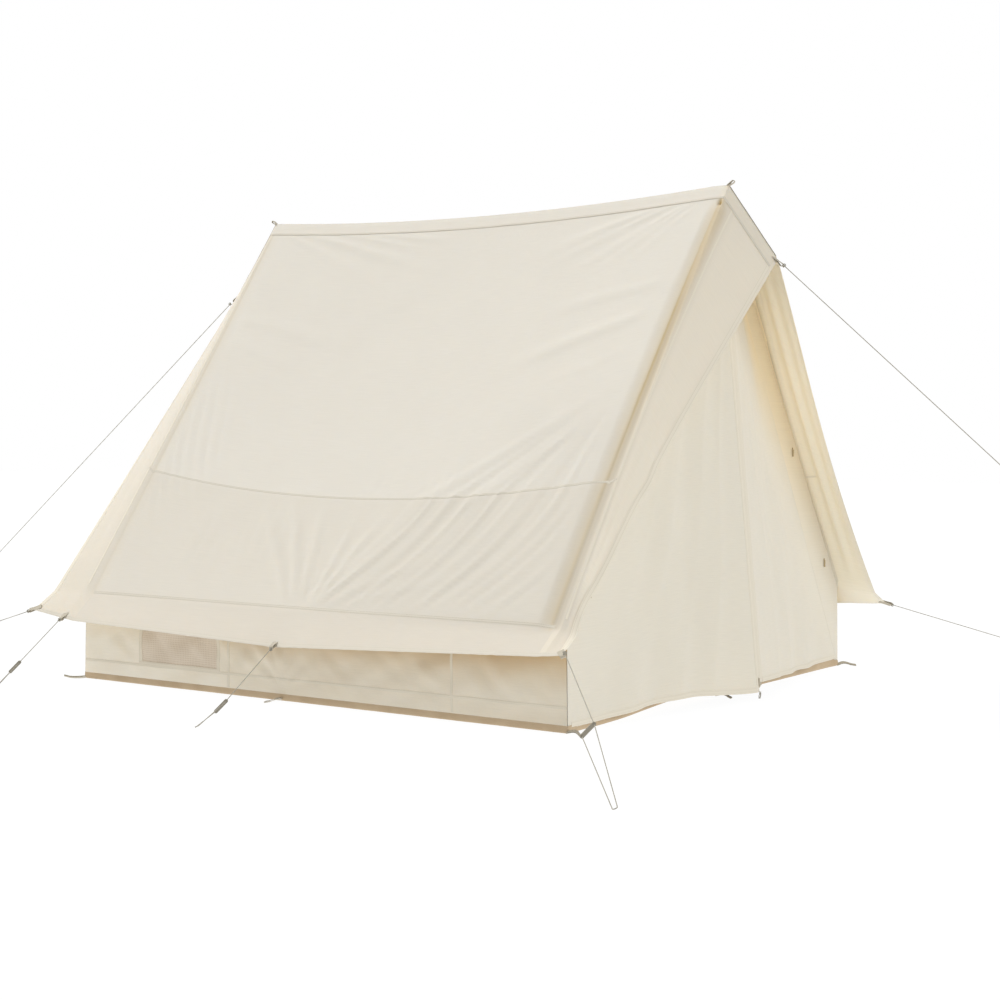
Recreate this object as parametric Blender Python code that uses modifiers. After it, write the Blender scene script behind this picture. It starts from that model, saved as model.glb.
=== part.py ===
"""Canvas ridge tent: low side walls, a pole arch at each end, hoods over both gables, guylines.

Frame: metres, +Z up. The ridge runs along Y, the door gable faces -Y, the origin is on the
ground at the middle of the floor. Left is -X and right is +X, seen from inside facing the door's back.
"""
import math

import bmesh
import bpy
from mathutils import Matrix, Vector

# Floor and walls
FLOOR_WIDTH = 2.200
FLOOR_LENGTH = 2.262
TRAY_HEIGHT = 0.027
WALL_HEIGHT = 0.342
END_LEAN = 0.018

# Roof
RIDGE_HEIGHT = 1.905
RIDGE_SAG = 0.040
SLOPE_SAG = 0.025
EAVE_REACH = 0.112
EAVE_MIDDLE_HEIGHT = 0.210
EAVE_END_HEIGHT = 0.250
RIDGE_BAND_HALF = 0.038

# Hoods beyond the pole arches
FRAME_INSET = 0.051
RIDGE_OVERHANG = 0.059
BEAK_REACH = 0.211
BEAK_HEIGHT = 1.603
HOOD_CORNER_REACH = 0.171
HOOD_CORNER_HEIGHT = 0.273
PULLED_CORNER_REACH = 0.042
PULLED_CORNER_HEIGHT = 0.289
HOOD_HEM_SAG = 0.045
HOOD_FLAT_SHARE = 0.25

# Cloth, as thick as a doubled hem, and the clearances between sewn panels
CLOTH = 0.002
GAP = 0.0003
SEAM = 0.0006
RIDGE_SLIT = 0.0025

# Pole arches
POLE_RADIUS = 0.0125
SOCKET_WALL = 0.0025
KNUCKLE_EXTRA = 0.0012
POLE_INSET = 0.006
SOCKET_DEPTH = 0.055
SOCKET_FLOOR = 0.016
APEX_SOCKET_FLOOR = 0.024
FOOT_RADIUS = 0.016
FOOT_HEIGHT = 0.030
FOOT_FLOOR = 0.008
POLE_SIDES = 16

# Door: hinge line along which each leaf is rolled back, and the zip line between the leaves
HINGE_TOP_HALF = 0.058
HINGE_TOP_DROP = 0.163
HINGE_FOOT_INSET = 0.012
DOOR_HEM_HEIGHT = 0.028
DOOR_HEM_DROP = 0.008
ZIP_TOP_REACH = -0.013
ZIP_FOOT_REACH = 0.159
ZIP_BAND_HALF = 0.030
ZIP_SLIT_HALF = 0.0015
FLARE_POWER = 1.6
FOLD_DEPTH = 0.007
FOLD_SPACING = 0.270

# Zip tapes and slider, as depths behind the outer face of the leaf
TAPE_PAD_WIDTH = 0.012
COIL_WIDTH = 0.0104
COIL_FRONT = 0.0046
COIL_BACK = 0.0070
COIL_SLIT_HALF = 0.0016
SLIDER_LENGTH = 0.022
SLIDER_PLATE = 0.0015
SLIDER_PLAY = 0.0005
PULLER_LENGTH = 0.032
SLIDER_HEIGHT = 0.075

# Mesh window in each long wall
WINDOW_NEAR = 0.418
WINDOW_FAR = 0.815
WINDOW_SILL = 0.094
WINDOW_HEAD = 0.290

# Toggles, by their share of the door's height and of the strip between hinge line and roof
TOGGLE_HEIGHTS = (0.258, 0.526)
TOGGLE_SHARE = 0.65
TOGGLE_HALF_LENGTH = 0.014
TOGGLE_RADIUS = 0.0035
TOGGLE_LOOP_RISE = 0.022
TOGGLE_LOOP_RADIUS = 0.0021

# Webbing and cord
WEBBING_WIDTH = 0.025
WEBBING_THICKNESS = 0.004
TAB_INNER = 0.018
TAB_OUTER = 0.036
RIDGE_LOOP_LEAN = 0.37
STRAP_WIDTH = 0.015
STRAP_THICKNESS = 0.003
STRAP_LENGTH = 0.085
CORD_RADIUS = 0.0015
RUNNER_LENGTH = 0.062
RUNNER_WIDTH = 0.013
RUNNER_THICKNESS = 0.0045
RUNNER_HOLE_RADIUS = 0.0023
PEG_TURN_RADIUS = 0.009
EYE_LENGTH = 0.040
EYE_RADIUS = 0.007

# Worked out from the sizes above
HALF_WIDTH = FLOOR_WIDTH / 2
HALF_LENGTH = FLOOR_LENGTH / 2
ARCH_Y = HALF_LENGTH - FRAME_INSET
HINGE_TOP_HEIGHT = RIDGE_HEIGHT - HINGE_TOP_DROP
WALL_X = HALF_WIDTH + 1.5 * CLOTH
EAVE_X = HALF_WIDTH + EAVE_REACH
SLOPE = (RIDGE_HEIGHT - WALL_HEIGHT) / WALL_X
SLOPE_STRETCH = math.sqrt(1 + SLOPE * SLOPE)
SLOPE_DOWN = Vector((1 / SLOPE_STRETCH, 0, -SLOPE / SLOPE_STRETCH))
SOCKET_RADIUS = POLE_RADIUS + SOCKET_WALL
KNUCKLE_RADIUS = SOCKET_RADIUS + KNUCKLE_EXTRA
BORE_RADIUS = POLE_RADIUS + GAP
SLOPE_ROWS = 8
FLAP_ROWS = 1
MAIN_SHARE = SLOPE_ROWS / (SLOPE_ROWS + FLAP_ROWS)
ROOF_COLUMNS = 12


def clear_scene():
    for obj in list(bpy.data.objects):
        bpy.data.objects.remove(obj, do_unlink=True)


def new_collection(name):
    collection = bpy.data.collections.new(name)
    bpy.context.scene.collection.children.link(collection)
    return collection


def new_material(name, color, roughness, metallic=0.0):
    material = bpy.data.materials.new(name)
    material.use_nodes = True
    shader = material.node_tree.nodes["Principled BSDF"]
    shader.inputs["Base Color"].default_value = (*color, 1.0)
    shader.inputs["Roughness"].default_value = roughness
    shader.inputs["Metallic"].default_value = metallic
    material.diffuse_color = (*color, 1.0)
    return material


def mix(a, b, share):
    return a + (b - a) * share


def add_object(name, mesh, collection, material=None):
    obj = bpy.data.objects.new(name, mesh)
    collection.objects.link(obj)
    if material is not None:
        mesh.materials.append(material)
    if collection is CUTTERS:
        obj.hide_render = True
        obj.display_type = "WIRE"
    return obj


def mesh_from(bm, name):
    mesh = bpy.data.meshes.new(name)
    bm.to_mesh(mesh)
    bm.free()
    return mesh


def sheet(name, columns, rows, place, outward, material, thickness=CLOTH):
    """A cloth panel: a grid laid out by place(u, v), thickened towards the inside."""
    bm = bmesh.new()
    bmesh.ops.create_grid(bm, x_segments=columns, y_segments=rows, size=1.0)
    for vertex in bm.verts:
        u = (vertex.co.x + 1) / 2
        v = (vertex.co.y + 1) / 2
        vertex.co = place(u, v)
    bm.normal_update()
    facing = sum((face.normal * face.calc_area() for face in bm.faces), Vector())
    if facing.dot(Vector(outward)) < 0:
        bmesh.ops.reverse_faces(bm, faces=bm.faces)
    obj = add_object(name, mesh_from(bm, name), PARTS, material)
    solidify = obj.modifiers.new("thickness", "SOLIDIFY")
    solidify.thickness = thickness
    solidify.offset = -1.0
    return obj


def cylinder(name, start, end, radius, collection, material=None, sides=POLE_SIDES):
    axis = end - start
    bm = bmesh.new()
    bmesh.ops.create_cone(bm, cap_ends=True, segments=sides, radius1=radius, radius2=radius,
                          depth=axis.length)
    turn = axis.to_track_quat("Z", "Y").to_matrix().to_4x4()
    bmesh.ops.transform(bm, matrix=Matrix.Translation((start + end) / 2) @ turn, verts=bm.verts)
    obj = add_object(name, mesh_from(bm, name), collection, material)
    obj.data.shade_smooth()
    obj.data.set_sharp_from_angle(angle=math.radians(40))
    return obj


def ball(name, centre, radius, collection):
    bm = bmesh.new()
    bmesh.ops.create_uvsphere(bm, u_segments=POLE_SIDES, v_segments=POLE_SIDES // 2, radius=radius)
    bmesh.ops.translate(bm, vec=centre, verts=bm.verts)
    return add_object(name, mesh_from(bm, name), collection)


def block(name, size, matrix, collection, material=None):
    bm = bmesh.new()
    bmesh.ops.create_cube(bm, size=1.0)
    bmesh.ops.scale(bm, vec=size, verts=bm.verts)
    bmesh.ops.transform(bm, matrix=matrix, verts=bm.verts)
    return add_object(name, mesh_from(bm, name), collection, material)


def boolean(obj, other, operation):
    modifier = obj.modifiers.new(other.name, "BOOLEAN")
    modifier.operation = operation
    modifier.object = other
    modifier.solver = "EXACT"


def outline(name, points, half_depth, matrix, collection, material=None):
    """A flat shape cut from its outline, made a mesh and put in place."""
    curve = bpy.data.curves.new(name + "_outline", "CURVE")
    curve.dimensions = "2D"
    curve.fill_mode = "BOTH"
    curve.extrude = half_depth
    spline = curve.splines.new("POLY")
    spline.points.add(len(points) - 1)
    for point, (x, y) in zip(spline.points, points):
        point.co = (x, y, 0.0, 1.0)
    spline.use_cyclic_u = True
    holder = bpy.data.objects.new(name + "_outline", curve)
    CUTTERS.objects.link(holder)
    bpy.context.view_layer.update()
    evaluated = holder.evaluated_get(bpy.context.evaluated_depsgraph_get())
    mesh = bpy.data.meshes.new_from_object(evaluated)
    bpy.data.objects.remove(holder, do_unlink=True)
    bm = bmesh.new()
    bm.from_mesh(mesh)
    bmesh.ops.remove_doubles(bm, verts=bm.verts, dist=0.00001)
    bmesh.ops.transform(bm, matrix=matrix, verts=bm.verts)
    bmesh.ops.recalc_face_normals(bm, faces=bm.faces)
    bm.to_mesh(mesh)
    bm.free()
    mesh.name = name
    return add_object(name, mesh, collection, material)


def cord(name, points, material):
    curve = bpy.data.curves.new(name, "CURVE")
    curve.dimensions = "3D"
    curve.bevel_depth = CORD_RADIUS
    curve.bevel_resolution = 2
    curve.use_fill_caps = True
    spline = curve.splines.new("POLY")
    spline.points.add(len(points) - 1)
    for point, place in zip(spline.points, points):
        point.co = (*place, 1.0)
    curve.materials.append(material)
    obj = bpy.data.objects.new(name, curve)
    PARTS.objects.link(obj)
    return obj


clear_scene()
PARTS = new_collection("ridge_tent")
CUTTERS = new_collection("cutters")

CANVAS = new_material("canvas", (0.78, 0.72, 0.60), 0.9)
MESH_NET = new_material("mesh_net", (0.48, 0.41, 0.35), 0.9)
GROUND_CLOTH = new_material("ground_cloth", (0.50, 0.38, 0.24), 0.7)
STEEL = new_material("pole_metal", (0.55, 0.55, 0.54), 0.35, 0.9)
PLASTIC = new_material("foot_rubber", (0.05, 0.05, 0.05), 0.6)
WEBBING = new_material("webbing", (0.40, 0.38, 0.32), 0.8)
CORD = new_material("cord", (0.42, 0.40, 0.36), 0.8)
ZIP = new_material("zip", (0.62, 0.56, 0.45), 0.6)
RUNNER = new_material("runner", (0.13, 0.13, 0.12), 0.4, 0.6)


# Roof slopes

def ridge_height(y):
    share = min(abs(y) / ARCH_Y, 1.0)
    return RIDGE_HEIGHT - RIDGE_SAG * (1 - share * share)


def eave_height(y):
    share = min(abs(y) / ARCH_Y, 1.0)
    return mix(EAVE_MIDDLE_HEIGHT, EAVE_END_HEIGHT, share * share)


def roof_point(side, y, down):
    """The outer face of a slope: down runs 0 at the ridge, MAIN_SHARE at the wall, 1 at the eave."""
    top = ridge_height(y)
    if down > MAIN_SHARE:
        flap = (down - MAIN_SHARE) / (1 - MAIN_SHARE)
        return Vector((side * mix(WALL_X, EAVE_X, flap), y, mix(WALL_HEIGHT, eave_height(y), flap)))
    x = mix(RIDGE_SLIT, WALL_X, down / MAIN_SHARE)
    z = mix(top, WALL_HEIGHT, x / WALL_X)
    slack = 1 - (min(abs(y) / ARCH_Y, 1.0)) ** 2
    dip = SLOPE_SAG * math.sin(math.pi * down / MAIN_SHARE) * slack
    return Vector((side * (x + SLOPE_DOWN.z * dip), y, z - SLOPE_DOWN.x * dip))


def roof(name, side):
    def place(u, v):
        return roof_point(side, mix(-ARCH_Y, ARCH_Y, u), v)
    return sheet(name, ROOF_COLUMNS, SLOPE_ROWS + FLAP_ROWS, place, (side, 0, 1), CANVAS)


# Hoods: each hangs from a pole arch and is drawn out to the beak tip and the eave corner

def hood_corner(side, end):
    pulled = side < 0 and end < 0
    reach = PULLED_CORNER_REACH if pulled else HOOD_CORNER_REACH
    height = PULLED_CORNER_HEIGHT if pulled else HOOD_CORNER_HEIGHT
    return Vector((side * EAVE_X, end * (HALF_LENGTH + reach), height))


def beak_tip(end):
    return Vector((0, end * (HALF_LENGTH + BEAK_REACH), BEAK_HEIGHT))


def hood_point(side, end, down, out):
    """down as on the roof; out runs 0 at the arch, HOOD_FLAT_SHARE at the ridge end, 1 at the hem."""
    base = roof_point(side, end * ARCH_Y, down)
    top = Vector((0, end * ARCH_Y, RIDGE_HEIGHT))
    ridge_end = top + Vector((0, end * RIDGE_OVERHANG, 0))
    if out < HOOD_FLAT_SHARE:
        lead = (ridge_end - top) * (out / HOOD_FLAT_SHARE)
    else:
        past = (out - HOOD_FLAT_SHARE) / (1 - HOOD_FLAT_SHARE)
        lead = ridge_end.lerp(beak_tip(end), past) - top
    foot = roof_point(side, end * ARCH_Y, 1.0)
    trail = (hood_corner(side, end) - foot) * out
    share = abs(base.x) / EAVE_X
    hem = -end * HOOD_HEM_SAG * math.sin(math.pi * share) * out * out
    seam = end * SEAM
    return base + lead.lerp(trail, share) + Vector((0, hem + seam, 0))


def tab(name, root, direction, normal, holder, inner=TAB_INNER):
    """Guyline webbing sewn on at root: it lies along the guyline and is joined to its panel."""
    along = direction.normalized()
    across = along.cross(normal).normalized()
    up = across.cross(along)
    middle = root + along * (TAB_OUTER - inner) / 2 - up * CLOTH / 2
    turn = Matrix((across, along, up)).transposed().to_4x4()
    size = (WEBBING_WIDTH, inner + TAB_OUTER, WEBBING_THICKNESS)
    webbing = block(name, size, Matrix.Translation(middle) @ turn, CUTTERS)
    boolean(holder, webbing, "UNION")
    return root + along * (TAB_OUTER + GAP) - up * CLOTH / 2


def hood(name, side, end):
    columns = 5

    def place(u, v):
        return hood_point(side, end, v, (u * columns * HOOD_FLAT_SHARE) if u <= 1 / columns
                          else mix(HOOD_FLAT_SHARE, 1.0, (u - 1 / columns) / (1 - 1 / columns)))
    return sheet(name, columns, SLOPE_ROWS + FLAP_ROWS, place, (side, end * 0.6, 1), CANVAS)


# Side walls with their mesh windows

def wall_end(z):
    return HALF_LENGTH - END_LEAN * z - CLOTH - GAP


def wall(name, side):
    low = TRAY_HEIGHT + GAP
    high = WALL_HEIGHT - (CLOTH + SEAM) * SLOPE_STRETCH

    def place(u, v):
        z = mix(low, high, v)
        return Vector((side * HALF_WIDTH, mix(-1, 1, u) * wall_end(z), z))
    panel = sheet(name, 8, 3, place, (side, 0, 0), CANVAS)
    size = (0.1, WINDOW_FAR - WINDOW_NEAR, WINDOW_HEAD - WINDOW_SILL)
    centre = (side * HALF_WIDTH, (WINDOW_FAR + WINDOW_NEAR) / 2, (WINDOW_HEAD + WINDOW_SILL) / 2)
    opening = block(name + "_window_cut", size, Matrix.Translation(centre), CUTTERS)
    boolean(panel, opening, "DIFFERENCE")
    return panel


def window(name, side):
    thickness = CLOTH / 2
    size = (thickness, WINDOW_FAR - WINDOW_NEAR - 2 * GAP, WINDOW_HEAD - WINDOW_SILL - 2 * GAP)
    centre = (side * (HALF_WIDTH - CLOTH / 2), (WINDOW_FAR + WINDOW_NEAR) / 2,
              (WINDOW_HEAD + WINDOW_SILL) / 2)
    return block(name, size, Matrix.Translation(centre), PARTS, MESH_NET)


# Gables: the front one is a surround for the door, the rear one is closed

def gable_y(z):
    """Distance of the gable's outer face from the middle of the tent."""
    return HALF_LENGTH - END_LEAN * z


def hinge_half_width(z):
    foot = HALF_WIDTH - HINGE_FOOT_INSET
    share = (z - DOOR_HEM_HEIGHT) / (HINGE_TOP_HEIGHT - DOOR_HEM_HEIGHT)
    return mix(foot, HINGE_TOP_HALF, share)


def gable_edge(z):
    """Half width of the gable just inside the roof."""
    edge = (RIDGE_HEIGHT - (CLOTH + 2 * SEAM) * SLOPE_STRETCH - z) / SLOPE
    return min(edge, HALF_WIDTH - CLOTH / 4)


def gable_matrix(end):
    """Puts an outline drawn with height as its second coordinate into the leaning gable plane."""
    tilt = math.atan(END_LEAN)
    upright = Matrix.Rotation(math.pi / 2, 4, "X")
    lean = Matrix.Rotation(-tilt, 4, "X")
    place = Matrix.Translation((0, -HALF_LENGTH, 0)) @ lean @ Matrix.Translation((0, CLOTH / 2, 0))
    turn = Matrix.Identity(4) if end < 0 else Matrix.Rotation(math.pi, 4, "Z")
    return turn @ place @ upright


def front_gable():
    low = TRAY_HEIGHT + GAP
    stretch = math.sqrt(1 + END_LEAN * END_LEAN)
    apex = RIDGE_HEIGHT - 0.010
    shoulder = WALL_HEIGHT - (CLOTH + 2 * SEAM) * SLOPE_STRETCH - CLOTH
    half = [(gable_edge(low), low), (gable_edge(low), shoulder), (gable_edge(shoulder + CLOTH), shoulder + CLOTH),
            (gable_edge(apex), apex)]
    inner = [(HINGE_TOP_HALF, HINGE_TOP_HEIGHT), (hinge_half_width(low), low)]
    right = [(x, z * stretch) for x, z in half]
    left = [(-x, z * stretch) for x, z in reversed(half)]
    door_left = [(-x, z * stretch) for x, z in reversed(inner)]
    door_right = [(x, z * stretch) for x, z in inner]
    points = right + left + door_left + door_right
    return outline("front_gable", points, CLOTH / 2, gable_matrix(-1), PARTS, CANVAS)


def zip_reach(z):
    """How far the zip line stands out beyond the floor's end."""
    share = (z - DOOR_HEM_HEIGHT) / (HINGE_TOP_HEIGHT - DOOR_HEM_HEIGHT)
    return mix(ZIP_FOOT_REACH, ZIP_TOP_REACH, share)


def leaf_y(x, z, folded=True):
    """Outer face of a door leaf (or the rear panel) at distance x from the middle."""
    hinge = hinge_half_width(z)
    flat = -gable_y(z)
    out = -HALF_LENGTH - zip_reach(z)
    if x <= ZIP_BAND_HALF:
        return out
    share = 1 - (x - ZIP_BAND_HALF) / (hinge - ZIP_BAND_HALF)
    y = mix(flat, out, max(share, 0.0) ** FLARE_POWER)
    if folded:
        room = math.sin(math.pi * min(max(share, 0.0), 1.0)) ** 2
        low = 1 - z / HINGE_TOP_HEIGHT
        y += FOLD_DEPTH * math.sin(2 * math.pi * x / FOLD_SPACING) * room * mix(0.4, 1.0, low)
    return y


def leaf(name, side):
    columns = 15

    def place(u, v):
        share = min(u * columns / (columns - 1), 1.0)
        hem = DOOR_HEM_HEIGHT - DOOR_HEM_DROP * share
        z = mix(hem, HINGE_TOP_HEIGHT - SEAM, v)
        hinge = hinge_half_width(max(z, DOOR_HEM_HEIGHT)) - SEAM
        if u * columns > columns - 0.5:
            return Vector((side * ZIP_SLIT_HALF, leaf_y(0, z), z))
        x = mix(hinge, ZIP_BAND_HALF, share)
        return Vector((side * x, leaf_y(x, z), z))
    return sheet(name, columns, 12, place, (0, -1, 0), CANVAS)


def rear_gable():
    """One closed panel with the same easy belly as the door, sewn in all round."""
    belly = 0.35

    def place(u, v):
        across = mix(-1, 1, u)
        z = mix(TRAY_HEIGHT + GAP, RIDGE_HEIGHT - 0.012, v)
        x = across * gable_edge(z)
        flat = gable_y(z)
        swell = belly * ZIP_FOOT_REACH * (1 - across * across) * (1 - z / RIDGE_HEIGHT) * min(1.0, z / 0.2 + 0.4)
        return Vector((x, flat + swell, z))
    return sheet("rear_gable", 12, 12, place, (0, 1, 0), CANVAS)


# Zip: a frame of its own, with depth behind the leaf as Y and the way up the zip as Z

def zip_point(z):
    return Vector((0, -HALF_LENGTH - zip_reach(z), z))


ZIP_FOOT = zip_point(DOOR_HEM_HEIGHT)
ZIP_TOP = zip_point(HINGE_TOP_HEIGHT)
ZIP_UP = (ZIP_TOP - ZIP_FOOT).normalized()


def zip_matrix(z):
    depth = ZIP_UP.cross(Vector((1, 0, 0)))
    turn = Matrix((Vector((1, 0, 0)), depth, ZIP_UP)).transposed().to_4x4()
    return Matrix.Translation(zip_point(z)) @ turn


def zip_tape(name, side):
    start = COIL_SLIT_HALF
    pad = start + COIL_WIDTH
    front = CLOTH + GAP
    points = [(start, COIL_FRONT), (pad, COIL_FRONT), (pad, front), (pad + TAPE_PAD_WIDTH, front),
              (pad + TAPE_PAD_WIDTH, COIL_BACK), (start, COIL_BACK)]
    if side < 0:
        points = [(-x, y) for x, y in reversed(points)]
    low = 0.050
    high = HINGE_TOP_HEIGHT - 0.050
    middle = (low + high) / 2
    half = (high - low) / 2 / ZIP_UP.z
    return outline(name, points, half, zip_matrix(middle), PARTS, ZIP)


def zip_slider():
    left = -COIL_SLIT_HALF - COIL_WIDTH * 0.7
    neck_left = -COIL_SLIT_HALF + SLIDER_PLAY
    neck_right = COIL_SLIT_HALF - 0.0007
    front_face = COIL_FRONT - SLIDER_PLAY
    back_face = COIL_BACK + SLIDER_PLAY
    points = [(left, front_face - SLIDER_PLATE), (neck_right, front_face - SLIDER_PLATE),
              (neck_right, back_face + SLIDER_PLATE), (left, back_face + SLIDER_PLATE),
              (left, back_face), (neck_left, back_face), (neck_left, front_face), (left, front_face)]
    matrix = zip_matrix(SLIDER_HEIGHT)
    slider = outline("zip_slider", points, SLIDER_LENGTH / 2, matrix, PARTS, RUNNER)
    stem_width = 0.0016
    stem_reach = 0.004
    stem_depth = front_face + stem_reach
    stem = block("slider_stem", (stem_width, stem_depth, 0.006),
                 matrix @ Matrix.Translation((0, front_face - stem_depth / 2 - 0.0005, 0)), CUTTERS)
    puller_x = -0.0032
    puller_place = Matrix.Translation((puller_x, -stem_reach + 0.0006, -PULLER_LENGTH / 2 + 0.004))
    puller = block("slider_puller", (0.0081, 0.0016, PULLER_LENGTH), matrix @ puller_place, CUTTERS)
    boolean(slider, stem, "UNION")
    boolean(slider, puller, "UNION")
    return slider


# Toggle and loop that hold a rolled leaf, hung on the gable beside the hinge line

def toggle(name, side, share_up):
    z = HINGE_TOP_HEIGHT * share_up
    x = mix(hinge_half_width(z), gable_edge(z), TOGGLE_SHARE)
    top = Vector((side * x, 0, z + TOGGLE_LOOP_RISE))
    top.y = -gable_y(top.z) - GAP - TOGGLE_LOOP_RADIUS
    centre = Vector((side * x, -gable_y(z) - GAP - TOGGLE_LOOP_RADIUS - TOGGLE_RADIUS / 2, z))
    half = Vector((0, 0, TOGGLE_HALF_LENGTH))
    bar = cylinder(name, centre - half, centre + half, TOGGLE_RADIUS, PARTS, RUNNER, 10)
    loop = cylinder(name + "_loop", centre, top, TOGGLE_LOOP_RADIUS, CUTTERS, None, 8)
    boolean(bar, loop, "UNION")
    return bar


# Groundsheet: a shallow tray with webbing peg straps sewn to its rim

def groundsheet():
    bm = bmesh.new()
    bmesh.ops.create_cube(bm, size=1.0)
    bmesh.ops.scale(bm, vec=(FLOOR_WIDTH, FLOOR_LENGTH, TRAY_HEIGHT), verts=bm.verts)
    bmesh.ops.translate(bm, vec=(0, 0, TRAY_HEIGHT / 2), verts=bm.verts)
    bm.normal_update()
    lid = [face for face in bm.faces if face.normal.z > 0.9]
    bmesh.ops.delete(bm, geom=lid, context="FACES")
    tray = add_object("groundsheet", mesh_from(bm, "groundsheet"), PARTS, GROUND_CLOTH)
    solidify = tray.modifiers.new("thickness", "SOLIDIFY")
    solidify.thickness = CLOTH
    solidify.offset = -1.0
    solidify.use_even_offset = True
    straps = [(side * HALF_WIDTH, end * HALF_LENGTH, side, end) for side in (-1, 1) for end in (-1, 1)]
    straps += [(side * HALF_WIDTH, 0.10, side, 0.0) for side in (-1, 1)]
    straps += [(-0.04, end * HALF_LENGTH, -0.25, end) for end in (-1, 1)]
    for index, (x, y, dx, dy) in enumerate(straps):
        away = Vector((dx, dy, 0)).normalized()
        root = Vector((x, y, STRAP_THICKNESS / 2 + 0.0005))
        middle = root + away * (STRAP_LENGTH / 2 - 0.002)
        angle = math.atan2(away.y, away.x)
        place = Matrix.Translation(middle) @ Matrix.Rotation(angle, 4, "Z")
        strap = block("peg_strap_%d" % index, (STRAP_LENGTH, STRAP_WIDTH, STRAP_THICKNESS), place, CUTTERS)
        boolean(tray, strap, "UNION")
    return tray


# Pole arches

ARCH_DROP = (CLOTH + GAP + KNUCKLE_RADIUS) * SLOPE_STRETCH
APEX_Z = RIDGE_HEIGHT - ARCH_DROP
LEG_X = HALF_WIDTH - CLOTH - GAP - FOOT_RADIUS
ELBOW_Z = APEX_Z - SLOPE * LEG_X


def slope_axis(side):
    return Vector((side * SLOPE_DOWN.x, 0, SLOPE_DOWN.z))


def connector(name, centre, arms, floor, material):
    """Two sockets that meet at an angle, bored for the pole ends."""
    body = cylinder(name, centre, centre + arms[0] * (floor + SOCKET_DEPTH), SOCKET_RADIUS, PARTS, material)
    second = cylinder(name + "_arm", centre, centre + arms[1] * (floor + SOCKET_DEPTH), SOCKET_RADIUS, CUTTERS)
    knuckle = ball(name + "_knuckle", centre, KNUCKLE_RADIUS, CUTTERS)
    boolean(body, second, "UNION")
    boolean(body, knuckle, "UNION")
    for index, arm in enumerate(arms):
        bore = cylinder("%s_bore_%d" % (name, index), centre + arm * floor,
                        centre + arm * (floor + 2 * SOCKET_DEPTH), BORE_RADIUS, CUTTERS)
        boolean(body, bore, "DIFFERENCE")
    return body


def arch(label, end):
    y = end * (ARCH_Y - POLE_INSET)
    apex = Vector((0, y, APEX_Z))
    left = slope_axis(-1)
    right = slope_axis(1)
    connector(label + "_apex_connector", apex, (left, right), APEX_SOCKET_FLOOR, STEEL)
    for side, word in ((-1, "left"), (1, "right")):
        prefix = "%s_%s" % (label, word)
        down = slope_axis(side)
        elbow = Vector((side * LEG_X, y, ELBOW_Z))
        connector(prefix + "_elbow", elbow, (-down, Vector((0, 0, -1))), SOCKET_FLOOR, STEEL)
        middle = apex.lerp(elbow, 0.5)
        start = apex + down * (APEX_SOCKET_FLOOR + GAP)
        upper = cylinder(prefix + "_upper_pole", start, middle, POLE_RADIUS, PARTS, STEEL)
        sleeve = cylinder(prefix + "_sleeve", middle - down * SOCKET_DEPTH, middle + down * SOCKET_DEPTH,
                          SOCKET_RADIUS, CUTTERS)
        bore = cylinder(prefix + "_sleeve_bore", middle, middle + down * 2 * SOCKET_DEPTH, BORE_RADIUS, CUTTERS)
        boolean(upper, sleeve, "UNION")
        boolean(upper, bore, "DIFFERENCE")
        cylinder(prefix + "_lower_pole", middle + down * GAP, elbow - down * (SOCKET_FLOOR + GAP),
                 POLE_RADIUS, PARTS, STEEL)
        floor = CLOTH + GAP
        foot_bottom = Vector((side * LEG_X, y, floor))
        foot = cylinder(prefix + "_foot", foot_bottom, foot_bottom + Vector((0, 0, FOOT_HEIGHT)),
                        FOOT_RADIUS, PARTS, PLASTIC)
        foot_bore = cylinder(prefix + "_foot_bore", foot_bottom + Vector((0, 0, FOOT_FLOOR)),
                             foot_bottom + Vector((0, 0, 2 * FOOT_HEIGHT)), BORE_RADIUS, CUTTERS)
        boolean(foot, foot_bore, "DIFFERENCE")
        cylinder(prefix + "_leg", foot_bottom + Vector((0, 0, FOOT_FLOOR + GAP)),
                 elbow - Vector((0, 0, SOCKET_FLOOR + GAP)), POLE_RADIUS, PARTS, STEEL)


arch("front", -1)
arch("rear", 1)
groundsheet()
roof_left = roof("left_roof", -1)
roof_right = roof("right_roof", 1)
for side, word in ((-1, "left"), (1, "right")):
    wall(word + "_wall", side)
    window(word + "_window_mesh", side)
    leaf(word + "_door_leaf", side)
    zip_tape(word + "_zip_tape", side)
    toggle("front_%s_lower_toggle" % word, side, TOGGLE_HEIGHTS[0])
    toggle("front_%s_upper_toggle" % word, side, TOGGLE_HEIGHTS[1])
front_gable()
rear_gable()
zip_slider()


# Ridge band over the slit between the slopes, with a webbing loop at each end

def ridge_band():
    columns = ROOF_COLUMNS + 2
    reach = ARCH_Y + RIDGE_OVERHANG - 0.004
    lift = CLOTH + SEAM

    def place(u, v):
        step = u * columns
        y = mix(-ARCH_Y, ARCH_Y, (step - 1) / ROOF_COLUMNS)
        y = max(-reach, min(reach, y))
        across = mix(-1, 1, v)
        side = 1 if across >= 0 else -1
        x = abs(across) * RIDGE_BAND_HALF
        point = roof_point(side, y, MAIN_SHARE * max(x - RIDGE_SLIT, 0) / (WALL_X - RIDGE_SLIT))
        rise = lift * SLOPE_STRETCH
        return Vector((side * x, y, mix(ridge_height(y), point.z, min(x / RIDGE_BAND_HALF, 1)) + rise))
    band = sheet("ridge_band", columns, 2, place, (0, 0, 1), CANVAS)
    for end in (-1, 1):
        root = Vector((0, end * reach, RIDGE_HEIGHT + lift * SLOPE_STRETCH))
        tab("ridge_loop_%d" % (end + 1), root, Vector((0, end * RIDGE_LOOP_LEAN, 1)),
            Vector((0, -end, RIDGE_LOOP_LEAN)), band, CLOTH * 0.75)
    return band


ridge_band()

# Guylines: the ways they lead off, and the points where they meet the ground or leave the view

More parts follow.
